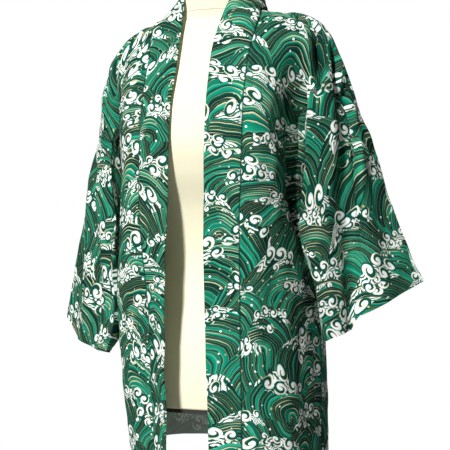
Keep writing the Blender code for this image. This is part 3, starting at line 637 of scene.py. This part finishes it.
def cloth_piece(name, grid, normal, thickness, across, down, from_seam, slots, closed=False):
    """A sewn piece: both sides of a grid of points and its rims.

    across and down are the cut's coordinates at every corner of every face: for a tube they
    have one more column than the grid. from_seam is each point's distance from a seam.
    """
    count = grid.shape[0] * grid.shape[1]
    half = normal * np.broadcast_to(thickness, grid.shape[:2])[..., None] / 2
    points = np.concatenate([(grid + half).reshape(-1, 3), (grid - half).reshape(-1, 3)])
    number = numbered(*grid.shape[:2], closed)
    move = PRINT_PLACES[name]
    cut = np.stack([across + move[0], down + move[1]], axis=2)
    corners = corners_of(cut)
    if closed:
        corners[:, ARM_ROWS, 1:3] = corners[:, ARM_ROWS, [0, 3]]
    quads = corners_of(number).reshape(-1, 4)
    corners = corners.reshape(-1, 4, 2)
    faces = [quads, quads[:, ::-1] + count]
    coordinates = [corners, corners[:, ::-1]]
    rims = [(number[0], cut[0]), (number[-1, ::-1], cut[-1, ::-1])]
    if not closed:
        rims += [(number[::-1, 0], cut[::-1, 0]), (number[:, -1], cut[:, -1])]
    for rim, place in rims:
        faces.append(np.stack([rim[1:], rim[:-1], rim[:-1] + count, rim[1:] + count], axis=1))
        coordinates.append(np.stack([place[1:], place[:-1], place[:-1], place[1:]], axis=1))
    faces = np.concatenate(faces)
    mesh = new_mesh("cloth_" + name, points + ON_STAND, faces.tolist(), *slots)
    layer = mesh.uv_layers.new(name="cut")
    layer.data.foreach_set("uv", np.concatenate(coordinates).reshape(-1))
    seam = mesh.attributes.new("from_seam", "FLOAT", "POINT")
    seam.data.foreach_set("value", np.tile(from_seam.ravel(), 2))
    wrong_side = np.arange(len(faces)) // len(quads) == 1
    mesh.polygons.foreach_set("material_index", wrong_side.astype(int))
    mesh.shade_smooth()
    if (normals_of(grid, closed) * normal).sum() > 0:
        mesh.flip_normals()
    mesh.set_sharp_from_angle(angle=SHARP_TURN)
    return put(mesh)


# ---- shader arithmetic ---------------------------------------------------------------------
class Value:
    """A number or a colour on its way through a node tree."""

    def __init__(self, tree, socket):
        self.tree = tree
        self.socket = socket

    def math(self, operation, *others):
        terms = dict(enumerate((self, *others)))
        return node(self.tree, "Math", 0, terms, operation=operation)

    def __add__(self, other):
        return self.math("ADD", other)

    def __sub__(self, other):
        return self.math("SUBTRACT", other)

    def __mul__(self, other):
        return self.math("MULTIPLY", other)

    def __truediv__(self, other):
        return self.math("DIVIDE", other)

    def above(self, other):
        return self.math("GREATER_THAN", other)

    def below(self, other):
        return self.math("LESS_THAN", other)

    def rise(self, start, end):
        """0 up to start and 1 from end, and an even rise between."""
        given = {"Value": self, "From Min": start, "From Max": end}
        return node(self.tree, "MapRange", "Result", given, interpolation_type="SMOOTHSTEP")


def feed(socket, value):
    if isinstance(value, Value):
        value.tree.links.new(value.socket, socket)
    else:
        socket.default_value = value


def new_node(tree, kind, inputs, **settings):
    """A new node with its settings set and its inputs fed, by name or by number."""
    made = tree.nodes.new("ShaderNode" + kind)
    for name, value in settings.items():
        setattr(made, name, value)
    for place, value in inputs.items():
        feed(made.inputs[place], value)
    return made


def node(tree, kind, output, inputs, **settings):
    """One output of a new node."""
    return Value(tree, new_node(tree, kind, inputs, **settings).outputs[output])


def joined(x, y, z):
    return node(x.tree, "CombineXYZ", 0, {0: x, 1: y, 2: z})


def parts(value):
    made = new_node(value.tree, "SeparateXYZ", {0: value})
    return [Value(value.tree, socket) for socket in made.outputs]


def turn_of(x, y):
    """The angle of a place about the origin, and its distance from it."""
    return y.math("ARCTAN2", x), (x * x + y * y).math("SQRT")


def chance(x, y, z):
    """Three even random numbers that hang on three numbers."""
    where = {"Vector": joined(x, y, z)}
    return parts(node(x.tree, "TexWhiteNoise", "Color", where, noise_dimensions="3D"))


def noise(place, scale, detail):
    """Two smooth noises about 0, each mostly within half of 1."""
    given = {"Vector": place, "Scale": scale, "Detail": detail}
    one, two, _ = parts(node(place.tree, "TexNoise", "Color", given, noise_dimensions="3D"))
    return one - 0.5, two - 0.5


def choose(factor, first, second, kind="RGBA"):
    """first where the factor is 0 and second where it is 1."""
    tree = next(value.tree for value in (factor, first) if isinstance(value, Value))
    at_first, at_second, at_result = {"RGBA": (6, 7, 2), "VECTOR": (4, 5, 1)}[kind]
    given = {0: factor, at_first: first, at_second: second}
    return node(tree, "Mix", at_result, given, data_type=kind)


def group(name, inputs, **outputs):
    """An empty node group, the numbers that it is given, and its output sockets."""
    tree = bpy.data.node_groups.new(name, "ShaderNodeTree")
    for label in inputs:
        tree.interface.new_socket(label, in_out="INPUT", socket_type="NodeSocketFloat")
    for label, kind in outputs.items():
        tree.interface.new_socket(label, in_out="OUTPUT", socket_type="NodeSocket" + kind)
    start = tree.nodes.new("NodeGroupInput")
    end = tree.nodes.new("NodeGroupOutput")
    return tree, [Value(tree, start.outputs[label]) for label in inputs], end.inputs


def use(tree, group_tree, **inputs):
    made = new_node(tree, "Group", inputs, node_tree=group_tree)
    return {socket.name: Value(tree, socket) for socket in made.outputs}


def cut_place(tree):
    """A place in the cut's own coordinates, in metres."""
    return node(tree, "UVMap", 0, {}, uv_map="cut")


def object_place(tree):
    """A place in an object's own coordinates, in metres."""
    return node(tree, "TexCoord", "Object", {})


# ---- the print: swells of water in rows, each over the one behind, with curls of foam --------
# ---- plain numbers in its functions are shares of a swell's or curl's radius, or of a chance
SWELL_RADIUS = 0.064
SWELL_PITCH = 0.124      # between neighbours in a row
ROW_PITCH = 0.046        # between rows; every other row is shifted by half a pitch
CURL_TURN = 0.34         # radians of crest for each curl of foam
GAP = 0.46               # of a curl's winding, left dark
STRIPES = 10.5           # bands of water in one swell's radius
SPRAY_SCALE = 62.0       # cells of spray in a metre, each with at most one drop
INNER_CURLS = [
    # ring, radians for each, radius, reach along the crest, shift; all in a swell's radii
    (0.60, 0.50, 0.17, 0.00, 0.0),
    (0.80, 0.40, 0.18, 0.15, 0.5),
]
DARK = (0.0005, 0.027, 0.022, 1)
DEEP = (0.0015, 0.070, 0.045, 1)
GREEN = (0.0010, 0.190, 0.115, 1)
TEAL = (0.0040, 0.370, 0.235, 1)
GOLD = (0.500, 0.520, 0.200, 1)
PALE_GOLD = (0.760, 0.800, 0.500, 1)
FOAM = (0.930, 0.950, 0.920, 1)
PALE_TEAL = (0.260, 0.560, 0.470, 1)
WATER = [(0.24, DARK), (0.53, DEEP), (0.71, GREEN), (0.98, TEAL)]


def curl_group():
    """One curl of foam: a disc with a spiral cut into it. Its place is in its own radii."""
    tree, (x, y, turn), out = group("foam_curl", ("X", "Y", "Turn"), Inside="Float", Color="Color")
    angle, radius = turn_of(x, y)
    winding = (radius * 1.05 - angle / (2 * math.pi) + turn).math("FRACT")
    heart = radius.below(0.26)
    stroke = (winding.above(GAP) * radius.below(0.94)).math("MAXIMUM", heart)
    edge = winding.below(GAP + 0.09) * radius.above(0.26)
    shade = winding.rise(0.78, 1.0) * radius.above(0.26)
    colour = choose(shade * 0.60, FOAM, PALE_TEAL)
    colour = choose(edge * 0.8, colour, GOLD)
    feed(out["Inside"], radius.below(1.0))
    feed(out["Color"], choose(stroke, DEEP, colour))
    return tree


def nearest_curl(x, y, seed_x, seed_y, ring, turn, size, middle, reach, shift):
    """The place within the nearest of the curls on a ring about a swell's centre.

    The result is x and y in the curl's own radii, 1 where a curl is there, and its turn.
    """
    k = (y.math("ARCTAN2", x) / turn + shift).math("ROUND")
    at = (k - shift) * turn
    chance_size, chance_turn, chance_here = chance(seed_x, seed_y, k)
    radius = (chance_size * 0.50 + 0.60) * size
    ring = (chance_turn - 0.5) * 0.20 + ring
    aside = x - at.math("COSINE") * ring
    up = y - at.math("SINE") * ring
    side = chance_turn.above(0.5) * 2.0 - 1.0
    here = (at - middle).math("ABSOLUTE").below(chance_here * 0.5 + reach)
    return aside * side / radius, up / radius, here, chance_here


def swell_group():
    """The swell of one row that is nearest to a place: is the place on it, and where on it."""
    tree, (across, down, row), out = group(
        "swell", ("Across", "Down", "Row"), Covers="Float", Place="Vector", Curl="Vector"
    )
    shift = (row * 0.5).math("FRACT")
    column = (across / SWELL_PITCH - shift).math("ROUND")
    one, two, three = chance(column, row, 3.7)
    x = across - (column + shift) * SWELL_PITCH - (one - 0.5) * 0.012
    y = row * ROW_PITCH + (two - 0.5) * 0.014 - down
    radius = (three * 0.20 + 0.80) * SWELL_RADIUS
    side = (one * 9.0).math("FRACT").above(0.5) * 2.0 - 1.0
    x = x / radius * side
    y = y / radius
    middle = two * 0.9 + 1.0
    curl_x, curl_y, here, turn = nearest_curl(
        x, y, column + one, row, 1.02, CURL_TURN, 0.52 * CURL_TURN, middle, 0.40, 0.0
    )
    on_curl = (curl_x * curl_x + curl_y * curl_y).below(1.0) * here
    on_swell = (x * x + y * y).below(1.0)
    feed(out["Covers"], on_curl.math("MAXIMUM", on_swell))
    feed(out["Place"], joined(x, y, three + column * 0.37 + row * 0.73))
    feed(out["Curl"], joined(curl_x, curl_y, here * (turn * 0.9 + 0.05)))
    return tree


def front_swell(place):
    """The foremost of the swells that cover a place: the place on it, and on its crest's curl."""
    swell = swell_group()
    across, down, _ = parts(place)
    slow_x, slow_y = noise(place, 8.0, 1.0)
    quick_x, quick_y = noise(place, 42.0, 1.0)
    across = across + slow_x * 0.060 + quick_x * 0.006
    down = down + slow_y * 0.070 + quick_y * 0.006
    first_row = (down / ROW_PITCH).math("FLOOR")
    rows = [
        use(place.tree, swell, Across=across, Down=down, Row=first_row + step)
        for step in (-1, 0, 1, 2)
    ]
    on, curled = rows[0]["Place"], rows[0]["Curl"]
    for found in rows[1:]:
        on = choose(found["Covers"], on, found["Place"], "VECTOR")
        curled = choose(found["Covers"], curled, found["Curl"], "VECTOR")
    return parts(on), parts(curled)


def water(x, y, seed):
    """Bands of water round a centre low on one side, with lines of gold and of light.

    The result is their colour, and two random numbers of the band.
    """
    one, two, _ = chance(seed * 17.0, 1.5, 0.5)
    from_x = x - (one * 0.5 + 0.15)
    from_y = y + two * 0.55 + 0.15
    angle, radius = turn_of(from_x, from_y)
    reach = radius + (from_y * 4.0 + one * 6.0).math("SINE") * 0.05
    band = reach * STRIPES + angle * 0.55
    part = band.math("FRACT")
    tone, line, fade = chance(band.math("FLOOR"), seed * 11.0, 0.2)
    tone = tone * 0.66 + (part - 0.5) * (line - 0.30) * 1.5 + 0.16
    ramp = new_node(x.tree, "ValToRGB", {0: tone})
    stops = ramp.color_ramp.elements
    stops[0].position, stops[0].color = WATER[0]
    stops[1].position, stops[1].color = WATER[-1]
    for position, colour in WATER[1:-1]:
        stops.new(position).color = colour
    swept = (angle - fade * 1.4 - 0.6).math("ABSOLUTE").rise(0.75, 0.15)
    light = part.below(swept * 0.19 + 0.06) * part.above(0.07) * line.above(0.22) * swept.above(0.1)
    colour = choose(light * 0.80, Value(x.tree, ramp.outputs["Color"]), PALE_GOLD)
    gilt = part.below(0.060) + (part - 0.56).math("ABSOLUTE").below(0.018) * fade.above(0.6)
    return choose(gilt.math("MINIMUM", 1.0) * 0.60, colour, GOLD), line, fade


def foam(colour, x, y, seed, line, fade):
    """The body of the foam under the crest, in strands, then the inner curls in front of it."""
    curl = curl_group()
    turned, radius = turn_of(x, y)
    middle = fade * 0.5 + 1.2
    heart = (turned - middle).math("ABSOLUTE").rise(0.90, 0.25)
    ragged = (turned * 11.0 + seed * 5.0).math("SINE") * 0.05
    body = radius.above((heart * (line * -0.34 - 0.16) + 1.0) + ragged) * heart.above(0.03)
    frayed, _ = noise(joined(x, y, seed * 5.0), 3.5, 2.0)
    strand = radius * 11.0 + (turned * 5.0 + seed).math("SINE") * 0.9 + turned * 1.5 + frayed * 4.5
    strand = strand.math("FRACT")
    froth = choose(strand.rise(0.34, 0.56), FOAM, PALE_TEAL)
    froth = choose(strand.above(0.56), froth, DEEP)
    froth = choose(strand.above(0.94), froth, GOLD)
    colour = choose(body, colour, froth)
    for ring, turn, size, far, shift in INNER_CURLS:
        at_x, at_y, here, spin = nearest_curl(
            x, y, seed * 3.0, ring, ring, turn, size, middle, far, shift
        )
        colour = with_curl(colour, curl, at_x, at_y, here, spin)
    return colour, curl


def with_curl(colour, curl, x, y, here, turn):
    drawn_curl = use(x.tree, curl, X=x, Y=y, Turn=turn)
    return choose(drawn_curl["Inside"] * here, colour, drawn_curl["Color"])


def spray(colour, place):
    """Scattered drops, some of them gold."""
    given = {"Vector": place, "Scale": SPRAY_SCALE, "Randomness": 0.8}
    cell = new_node(place.tree, "TexVoronoi", given, voronoi_dimensions="2D")
    drop, gold_drop, size = parts(Value(place.tree, cell.outputs["Color"]))
    crowd, _ = noise(place, 16.0, 0.0)
    wet = drop.below(crowd * 1.8 + 0.42)
    speck = Value(place.tree, cell.outputs["Distance"]).below(size * 0.080 + 0.040) * wet
    return choose(speck, colour, choose(gold_drop.above(0.72), FOAM, GOLD))


def wave_print_group():
    """The whole print, read from the cut's own coordinates."""
    tree, _, out = group("wave_print", (), Color="Color")
    place = cut_place(tree)
    (x, y, seed), (curl_x, curl_y, spin) = front_swell(place)
    colour, line, fade = water(x, y, seed)
    colour, curl = foam(colour, x, y, seed, line, fade)
    colour = with_curl(colour, curl, curl_x, curl_y, spin.above(0.01), spin)
    feed(out["Color"], spray(colour, place))
    return tree


# ---- materials -----------------------------------------------------------------------------
THREAD = 0.00045          # between two threads of the cotton
PAINTED_SEAM_SHADE = (0.0017, 0.0006)  # from a seam: where the painted shade of its groove starts, and is full
NECK_SEAM_HEIGHT = 0.632  # above the form's base
WALES = 420.0             # columns of the jersey's stitches round the form, by 2 pi
COURSES = 2600.0          # rows of stitches in a metre, by 2 pi
OLD_GREEN = (0.010, 0.060, 0.045, 1)
WRONG_SIDE = (0.560, 0.640, 0.560, 1)
JERSEY_LIGHT = (0.880, 0.845, 0.640, 1)
JERSEY_WARM = (0.900, 0.830, 0.590, 1)
JERSEY_SHADE = (0.430, 0.390, 0.260, 1)
TRIM = [(0.016, 0.015, 0.013, 1), (0.034, 0.031, 0.027, 1)]
STEEL = [(0.040, 0.041, 0.044, 1), (0.070, 0.071, 0.074, 1)]


def surface(name, roughness, sheen=0.0):
    """A new material, its node tree and its shader."""
    made = bpy.data.materials.new(name)
    made.use_nodes = True
    shader = made.node_tree.nodes["Principled BSDF"]
    shader.inputs["Roughness"].default_value = roughness
    shader.inputs["Sheen Weight"].default_value = sheen
    shader.inputs["Sheen Roughness"].default_value = 0.5
    return made, made.node_tree, shader


def bump(shader, height, strength, distance):
    given = {"Strength": strength, "Distance": distance, "Height": height}
    feed(shader.inputs["Normal"], node(height.tree, "Bump", "Normal", given))


def plain_weave(place):
    """The height of a plain weave of uneven threads."""
    across, down, _ = parts(place)
    warp = (across * (math.pi / THREAD)).math("SINE")
    weft = (down * (math.pi / THREAD)).math("SINE")
    slub, _ = noise(place, 240.0, 3.0)
    return warp * weft * 0.5 + slub * 0.9


def cotton(printed, right_side):
    """Printed quilting cotton, seen from its right side or its wrong side."""
    name = "printed_cotton" if right_side else "printed_cotton_wrong_side"
    made, tree, shader = surface(name, 0.85)
    shader.inputs["Specular IOR Level"].default_value = 0.12
    place = cut_place(tree)
    colour = use(tree, printed)["Color"]
    if right_side:
        patchy, _ = noise(place, 5.0, 3.0)
        colour = choose(patchy * 0.10 + 0.03, colour, OLD_GREEN)
        from_seam = node(tree, "Attribute", "Fac", {}, attribute_name="from_seam")
        # painted shade: the cloth is darkened along each seam, where its groove would be shaded
        painted_seam_shade = from_seam.rise(*PAINTED_SEAM_SHADE)
        colour = choose(painted_seam_shade * 0.70, colour, DARK)
    else:
        colour = choose(0.62, colour, WRONG_SIDE)
    feed(shader.inputs["Base Color"], colour)
    bump(shader, plain_weave(place), 0.30, 0.0003)
    return made


def jersey():
    """The form's knitted cover, with the seam round its neck."""
    made, tree, shader = surface("jersey", 0.88, 0.15)
    place = object_place(tree)
    x, y, z = parts(place)
    wale = y.math("ARCTAN2", x) * WALES
    course = (z * COURSES + wale.math("COSINE")).math("SINE")
    stitch = wale.math("SINE") * 0.5 + course
    cloudy, _ = noise(place, 7.0, 3.0)
    fleck, _ = noise(place, 900.0, 2.0)
    colour = choose(cloudy + 0.5, JERSEY_LIGHT, JERSEY_WARM)
    colour = choose(fleck * 0.10 + 0.05, colour, JERSEY_SHADE)
    from_seam = (z - (FORM_BASE_Z + NECK_SEAM_HEIGHT)).math("ABSOLUTE")
    seam_here = from_seam.rise(0.0016, 0.0004)
    colour = choose(seam_here * 0.55, colour, JERSEY_SHADE)
    feed(shader.inputs["Base Color"], colour)
    bump(shader, stitch * 0.12 + fleck * 0.4 - seam_here * 4.0, 0.35, 0.0004)
    return made


def dark_trim():
    """Dull black cloth, a little worn."""
    made, tree, shader = surface("dark_trim", 0.55)
    place = object_place(tree)
    grain, _ = noise(place, 600.0, 3.0)
    worn, _ = noise(place, 12.0, 3.0)
    feed(shader.inputs["Base Color"], choose(worn + 0.5, *TRIM))
    feed(shader.inputs["Roughness"], worn * 0.2 + 0.55)
    bump(shader, grain, 0.25, 0.0003)
    return made


def dark_steel():
    """Powder-coated steel, with a fine orange-peel surface."""
    made, tree, shader = surface("dark_steel", 0.42)
    shader.inputs["Metallic"].default_value = 0.55
    place = object_place(tree)
    peel, _ = noise(place, 420.0, 2.0)
    scuff, _ = noise(place, 20.0, 4.0)
    feed(shader.inputs["Base Color"], choose(scuff + 0.5, *STEEL))
    feed(shader.inputs["Roughness"], scuff * 0.25 + 0.42)
    bump(shader, peel, 0.20, 0.0004)
    return made


# ---- the jacket's pieces -------------------------------------------------------------------
SEEDS = {
    # of a piece's unevenness, and of the gathers at its seams
    "front_left": (31, 41),
    "front_right": (32, 42),
    "back": (37, 47),
    "sleeve_left": (41, 21),
    "sleeve_right": (42, 22),
    "neck_band": (53, 54),
}
# for each row of the back down to the underarm, its place on a sleeve's ring
RING_OF_BACK = (2 * ARM_ROWS - np.arange(ARM_ROWS + 1)) % (2 * ARM_ROWS)


def hem_thickness(from_end):
    """One layer, and more over the depth of a turned hem."""
    return LOOK_CLOTH + (HEM - LOOK_CLOTH) * smooth((HEM_DEPTH - from_end) / HEM_STEP)


def lying_on_chest(grid):
    """The band and the front's edge beside it, lying on the hollow above the chest."""
    outermost = 0.125    # from the middle of the form; nothing moves beyond it
    from_outermost, from_side = 0.050, 0.030  # over these widths the movement fades in
    height, depth = np.array(ON_CHEST).T
    x, y, z = grid[..., 0], grid[..., 1], grid[..., 2]
    fade = smooth((x + outermost) / from_outermost) * smooth(-y / from_side)
    move = np.interp(z, height, depth) * fade
    move = np.where(x < 0, move, 0)[..., None]
    grid = grid + move * np.array([-math.sin(CHEST_TURN), math.cos(CHEST_TURN), 0.0])
    return np.where(move > 0, clear_of_form(grid, BAND / 2 + LOOK_CLEARANCE), grid)


def base_pieces():
    """Every cut piece before its creases: its grid of points and its outward normals."""
    fronts, back, band, sleeves = garment_grids()
    fronts[1], back, band = [lying_on_chest(grid) for grid in (fronts[1], back, band)]
    pieces = {
        "front_left": (fronts[0], normals_of(fronts[0])),
        "front_right": (fronts[1], -normals_of(fronts[1])),
        "back": (back, normals_of(back)),
        "neck_band": (band, normals_of(band)),
        "sleeve_left": (sleeves[0], -normals_of(sleeves[0], closed=True)),
        "sleeve_right": (sleeves[1], normals_of(sleeves[1], closed=True)),
    }
    share_piece_normals({name: normal for name, (_, normal) in pieces.items()})
    return pieces


def share_piece_normals(normals):
    """One normal for the meeting edges of neighbouring pieces, in pairs and at corners."""
    back = normals["back"]
    band = normals["neck_band"]
    neck_end = PANEL_COLUMNS + NECK_COLUMNS
    skirt = len(drops())
    shoulders = (np.s_[0, PANEL_COLUMNS::-1], np.s_[0, neck_end:])
    for shoulder, edge, name in zip(shoulders, (0, -1), ("left", "right")):
        front = normals["front_" + name]
        sleeve = normals["sleeve_" + name]
        share_normals((front, np.s_[0, :]), (back, shoulder))
        share_normals((front, np.s_[ARM_ROWS:, -1]), (back, np.s_[ARM_ROWS:, edge]))
        share_normals((front, np.s_[: ARM_ROWS + 1, -1]), (sleeve, np.s_[0, : ARM_ROWS + 1]))
        share_normals((back, np.s_[: ARM_ROWS + 1, edge]), (sleeve, (0, RING_OF_BACK)))
        share_normals((front, (0, -1)), (back, (0, edge)), (sleeve, (0, 0)))
        share_normals((front, (ARM_ROWS, -1)), (back, (ARM_ROWS, edge)))
        sleeve[0, ARM_ROWS] = front[ARM_ROWS, -1]
    share_normals((band, np.s_[:skirt, 0]), (normals["front_left"], np.s_[::-1, 0]))
    share_normals((band, np.s_[-skirt:, 0]), (normals["front_right"], np.s_[:, 0]))
    share_normals(
        (band, np.s_[skirt - 1 : skirt + NECK_COLUMNS, 0]),
        (back, np.s_[0, PANEL_COLUMNS : neck_end + 1]),
    )


def crumpled(grid, normal, height):
    return clear_of_form(grid + height[..., None] * normal, LOOK_CLEARANCE)


def panel(name, grid, normal, start, creases, free):
    """A front or the back with its creases: what it is sewn from, and its two edges' heights.

    across is measured from the column start. free is, for each edge, 0 where a seam holds it
    still and 1 where it moves with a sleeve.
    """
    across = lengths(grid)
    across = across - across[:, start : start + 1]
    down = np.broadcast_to(drops()[:, None], across.shape)
    from_edges = (across - across[:, :1], across[:, -1:] - across)
    uneven, gathered = SEEDS[name]
    height = crease_height(creases, from_edges[0], down) + rumple(from_edges[0], down, uneven)
    gathers = 0
    for edge, distance in enumerate(from_edges):
        height = height * (1 - (1 - smooth(distance / AT_SEAM)) * (1 - free[edge]))
        gathers = gathers + pucker(distance, down, gathered + edge)
    height = (height + gathers) * smooth(down / BELOW_SHOULDER)
    shape = draw_in(crumpled(grid, normal, height), EDGES)
    from_seam = np.minimum(np.minimum(*from_edges), down)
    sewn = (shape, normal, hem_thickness(HEM_DROP - down), across, down, from_seam)
    return sewn, height[:, 0], height[:, -1]


def sleeve(name, grid, normal, long, creases, pulls, front_edge, back_edge):
    """A sleeve with its creases: what it is sewn from. Its armhole follows the panels' edges."""
    run = lengths(np.concatenate([grid, grid[:, :1]], axis=1))
    over = np.where(np.arange(run.shape[1]) <= ARM_ROWS, -run, run[:, -1:] - run)
    down = np.broadcast_to(np.linspace(0, long, len(grid))[:, None], over.shape)
    uneven, gathered = SEEDS[name]
    height = crease_height(creases, over, down) + rumple(over, down, uneven)
    height = (height + pucker(down, over, gathered))[:, :-1]
    at_seam = np.zeros(grid.shape[1])
    at_seam[RING_OF_BACK] = back_edge[: ARM_ROWS + 1]
    at_seam[: ARM_ROWS + 1] = front_edge[: ARM_ROWS + 1]
    from_seam = down[:, :-1]
    follow = smooth(from_seam / FOLLOWING)
    height = height * follow + at_seam * (1 - follow)
    height[:, 0] = (height[:, 1] + height[:, -1]) / 2 * follow[:, 0]
    grid = grid + drawn(pulls, run[:, ARM_ROWS : ARM_ROWS + 1] - run, down)[:, :-1]
    shape = draw_in(crumpled(grid, normal, height), ["first_row"])
    return shape, normal, hem_thickness(down[-1, 0] - from_seam), over, down, from_seam


def neck_band(grid, normal):
    """The neck band as one soft roll, its halves cut apart: what it is sewn from."""
    across = lengths(grid)
    run = lengths(grid[:, -1])
    middle = len(run) // 2
    down = np.broadcast_to(np.abs(run - run[middle])[:, None] + BAND_START, across.shape)
    uneven, gathered = SEEDS["neck_band"]
    height = rumple(across, down, uneven) * 0.8
    height = height + pucker(across, down, gathered, 0.0005, 0.012, 0.015)
    height += crease_height(BAND_CREASES, across, down - BAND_START)
    from_edge = np.minimum(across, across[:, -1:] - across)
    thickness = BAND * (BAND_THIN + (1 - BAND_THIN) * np.sqrt(smooth(from_edge / BAND_ROLL)))
    grid = grid + (height * smooth(across / 0.006))[..., None] * normal
    apart = np.where(np.arange(len(run)) < middle, 0.0, BAND_HALVES)[:, None]
    return draw_in(grid, ["first_column"]), normal, thickness, across + apart, down, across


def garment():
    """What every cut piece is sewn from, by name: its grid and all that cloth_piece needs."""
    base = base_pieces()
    # 1 along the armhole, where the sleeve follows the panel, and 0 from the underarm on
    free = smooth((ARM_ROWS - np.arange(len(drops()))) / UNDERARM_ROWS)[:, None]
    pieces = {}
    edges = {}
    for name, start, creases, frees in (
        ("front_left", 0, FRONT_LEFT_CREASES, (0, free)),
        ("front_right", 0, FRONT_RIGHT_CREASES, (0, free)),
        ("back", PANEL_COLUMNS + NECK_COLUMNS // 2, BACK_CREASES, (free, free)),
    ):
        pieces[name], *edges[name] = panel(name, *base[name], start, creases, frees)
    for side, table, creases, pulls, back_edge in (
        ("left", LEFT_SLEEVE, LEFT_SLEEVE_CREASES, LEFT_SLEEVE_PULLS, edges["back"][0]),
        ("right", RIGHT_SLEEVE, RIGHT_SLEEVE_CREASES, RIGHT_SLEEVE_PULLS, edges["back"][1]),
    ):
        name = "sleeve_" + side
        beside = (edges["front_" + side][1], back_edge)
        pieces[name] = sleeve(name, *base[name], table[-1][0], creases, pulls, *beside)
    pieces["neck_band"] = neck_band(*base["neck_band"])
    return pieces


def sew(slots):
    """Makes the shown pieces from their surfaces."""
    for name, surfaces in garment().items():
        piece = cloth_piece(name, *surfaces, slots, closed=name.startswith("sleeve"))
        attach(piece, "root")
        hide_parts(name)


def form_cover(finish):
    """The padded torso, round and smooth between the sections that the solid has too."""
    table = np.array(FORM_SECTIONS)
    heights = np.linspace(table[0, 0], table[-1, 0], COVER_RINGS)
    width, front, back = through(table[:, 0], table[:, 1:], heights).T
    turn = np.linspace(0, 2 * math.pi, COVER_SIDES, endpoint=False)
    east, north = np.cos(turn), np.sin(turn)
    depth = np.where(north < 0, front[:, None], back[:, None])
    x = width[:, None] * np.sign(east) * np.abs(east) ** (2 / FORM_POWER)
    y = depth * np.sign(north) * np.abs(north) ** (2 / FORM_POWER)
    z = np.broadcast_to(heights[:, None], x.shape)
    number = numbered(COVER_RINGS, COVER_SIDES, closed=True)
    sides = corners_of(number).reshape(-1, 4).tolist()
    ends = [number[0, -2::-1].tolist(), number[-1, :-1].tolist()]
    points = np.stack([x, y, z], axis=2) + ON_STAND
    mesh = new_mesh("form_cover", points, sides + ends, finish)
    mesh.shade_smooth()
    for end in mesh.polygons[len(sides) :]:
        end.use_smooth = False
    cover = put(mesh)
    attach(cover, "root")
    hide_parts("form_torso")


# ---- stage, light and camera ---------------------------------------------------------------
WORLD_LIGHT = 0.041       # of the white that the camera sees behind the part
FLOOR_RADIUS = 4.0
FLOOR_SIDES = 96
FLOOR_GREY = (0.40, 0.40, 0.40, 1)
SUN_AZIMUTH = -6
SUN_ELEVATION = 40
SUN_ANGLE = 7             # degrees that the light seems wide, for soft shadow edges
SUN_STRENGTH = 5.0
VIEW_PIXELS = 450.0       # across the view
LENS_PIXELS = 1375.0      # the lens's length, in the view's pixels
ASIDE_PIXELS = 4.0        # from the middle of the view to the form's axis
SENSOR = 36.0
CAMERA_DISTANCE = 2.2
CAMERA_AZIMUTH = 25.0
AIM_HEIGHT = FORM_BASE_Z + 0.295
FAR_CLIP = 60


def away_at(azimuth, elevation):
    """The direction towards an azimuth, 0 in front of the garment, and an elevation."""
    turn, tilt = math.radians(azimuth), math.radians(elevation)
    level = math.cos(tilt)
    return Vector((math.sin(turn) * level, -math.cos(turn) * level, math.sin(tilt)))


def put_facing(data, away):
    """A new light or camera that looks back along a direction."""
    made = put(data)
    made.rotation_euler = (-away).to_track_quat("-Z", "Y").to_euler()
    return made


def studio():
    """A grey floor, a white surround that lights little, and one sun."""
    turn = np.linspace(0, 2 * math.pi, FLOOR_SIDES, endpoint=False)
    ring = np.stack([np.cos(turn), np.sin(turn), np.zeros(FLOOR_SIDES)], axis=1) * FLOOR_RADIUS
    made, _, shader = surface("floor", 0.9)
    shader.inputs["Base Color"].default_value = FLOOR_GREY
    floor = put(new_mesh("floor", ring, [range(FLOOR_SIDES)], made))

    world = bpy.data.worlds.new("studio")
    world.use_nodes = True
    tree = world.node_tree
    background = tree.nodes["Background"]
    background.inputs["Color"].default_value = (1, 1, 1, 1)
    seen = node(tree, "LightPath", "Is Camera Ray", {})
    feed(background.inputs["Strength"], seen * (1.0 - WORLD_LIGHT) + WORLD_LIGHT)
    bpy.context.scene.world = world
    bpy.context.scene.view_settings.view_transform = "Standard"

    sun = bpy.data.lights.new("sun", "SUN")
    sun.angle = math.radians(SUN_ANGLE)
    sun.energy = SUN_STRENGTH
    put_facing(sun, away_at(SUN_AZIMUTH, SUN_ELEVATION))


def camera():
    """A level camera, a little to the form's left."""
    data = bpy.data.cameras.new("camera")
    data.sensor_width = SENSOR
    data.lens = LENS_PIXELS / VIEW_PIXELS * SENSOR
    data.shift_x = ASIDE_PIXELS / VIEW_PIXELS
    data.clip_end = FAR_CLIP
    away = away_at(CAMERA_AZIMUTH, 0)
    eye = put_facing(data, away)
    eye.location = Vector((0, 0, AIM_HEIGHT)) + away * CAMERA_DISTANCE
    bpy.context.scene.camera = eye


def main():
    printed = wave_print_group()
    sew([cotton(printed, True), cotton(printed, False)])
    form_cover(jersey())
    trim, steel = dark_trim(), dark_steel()
    finishes = {
        "form_neck_cap": trim,
        "form_base_plate": trim,
        "stand_base": steel,
        "stand_socket": steel,
        "stand_pole": steel,
    }
    for name, made in finishes.items():
        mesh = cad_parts[name].data
        mesh.materials.clear()
        mesh.materials.append(made)
    studio()
    camera()


main()
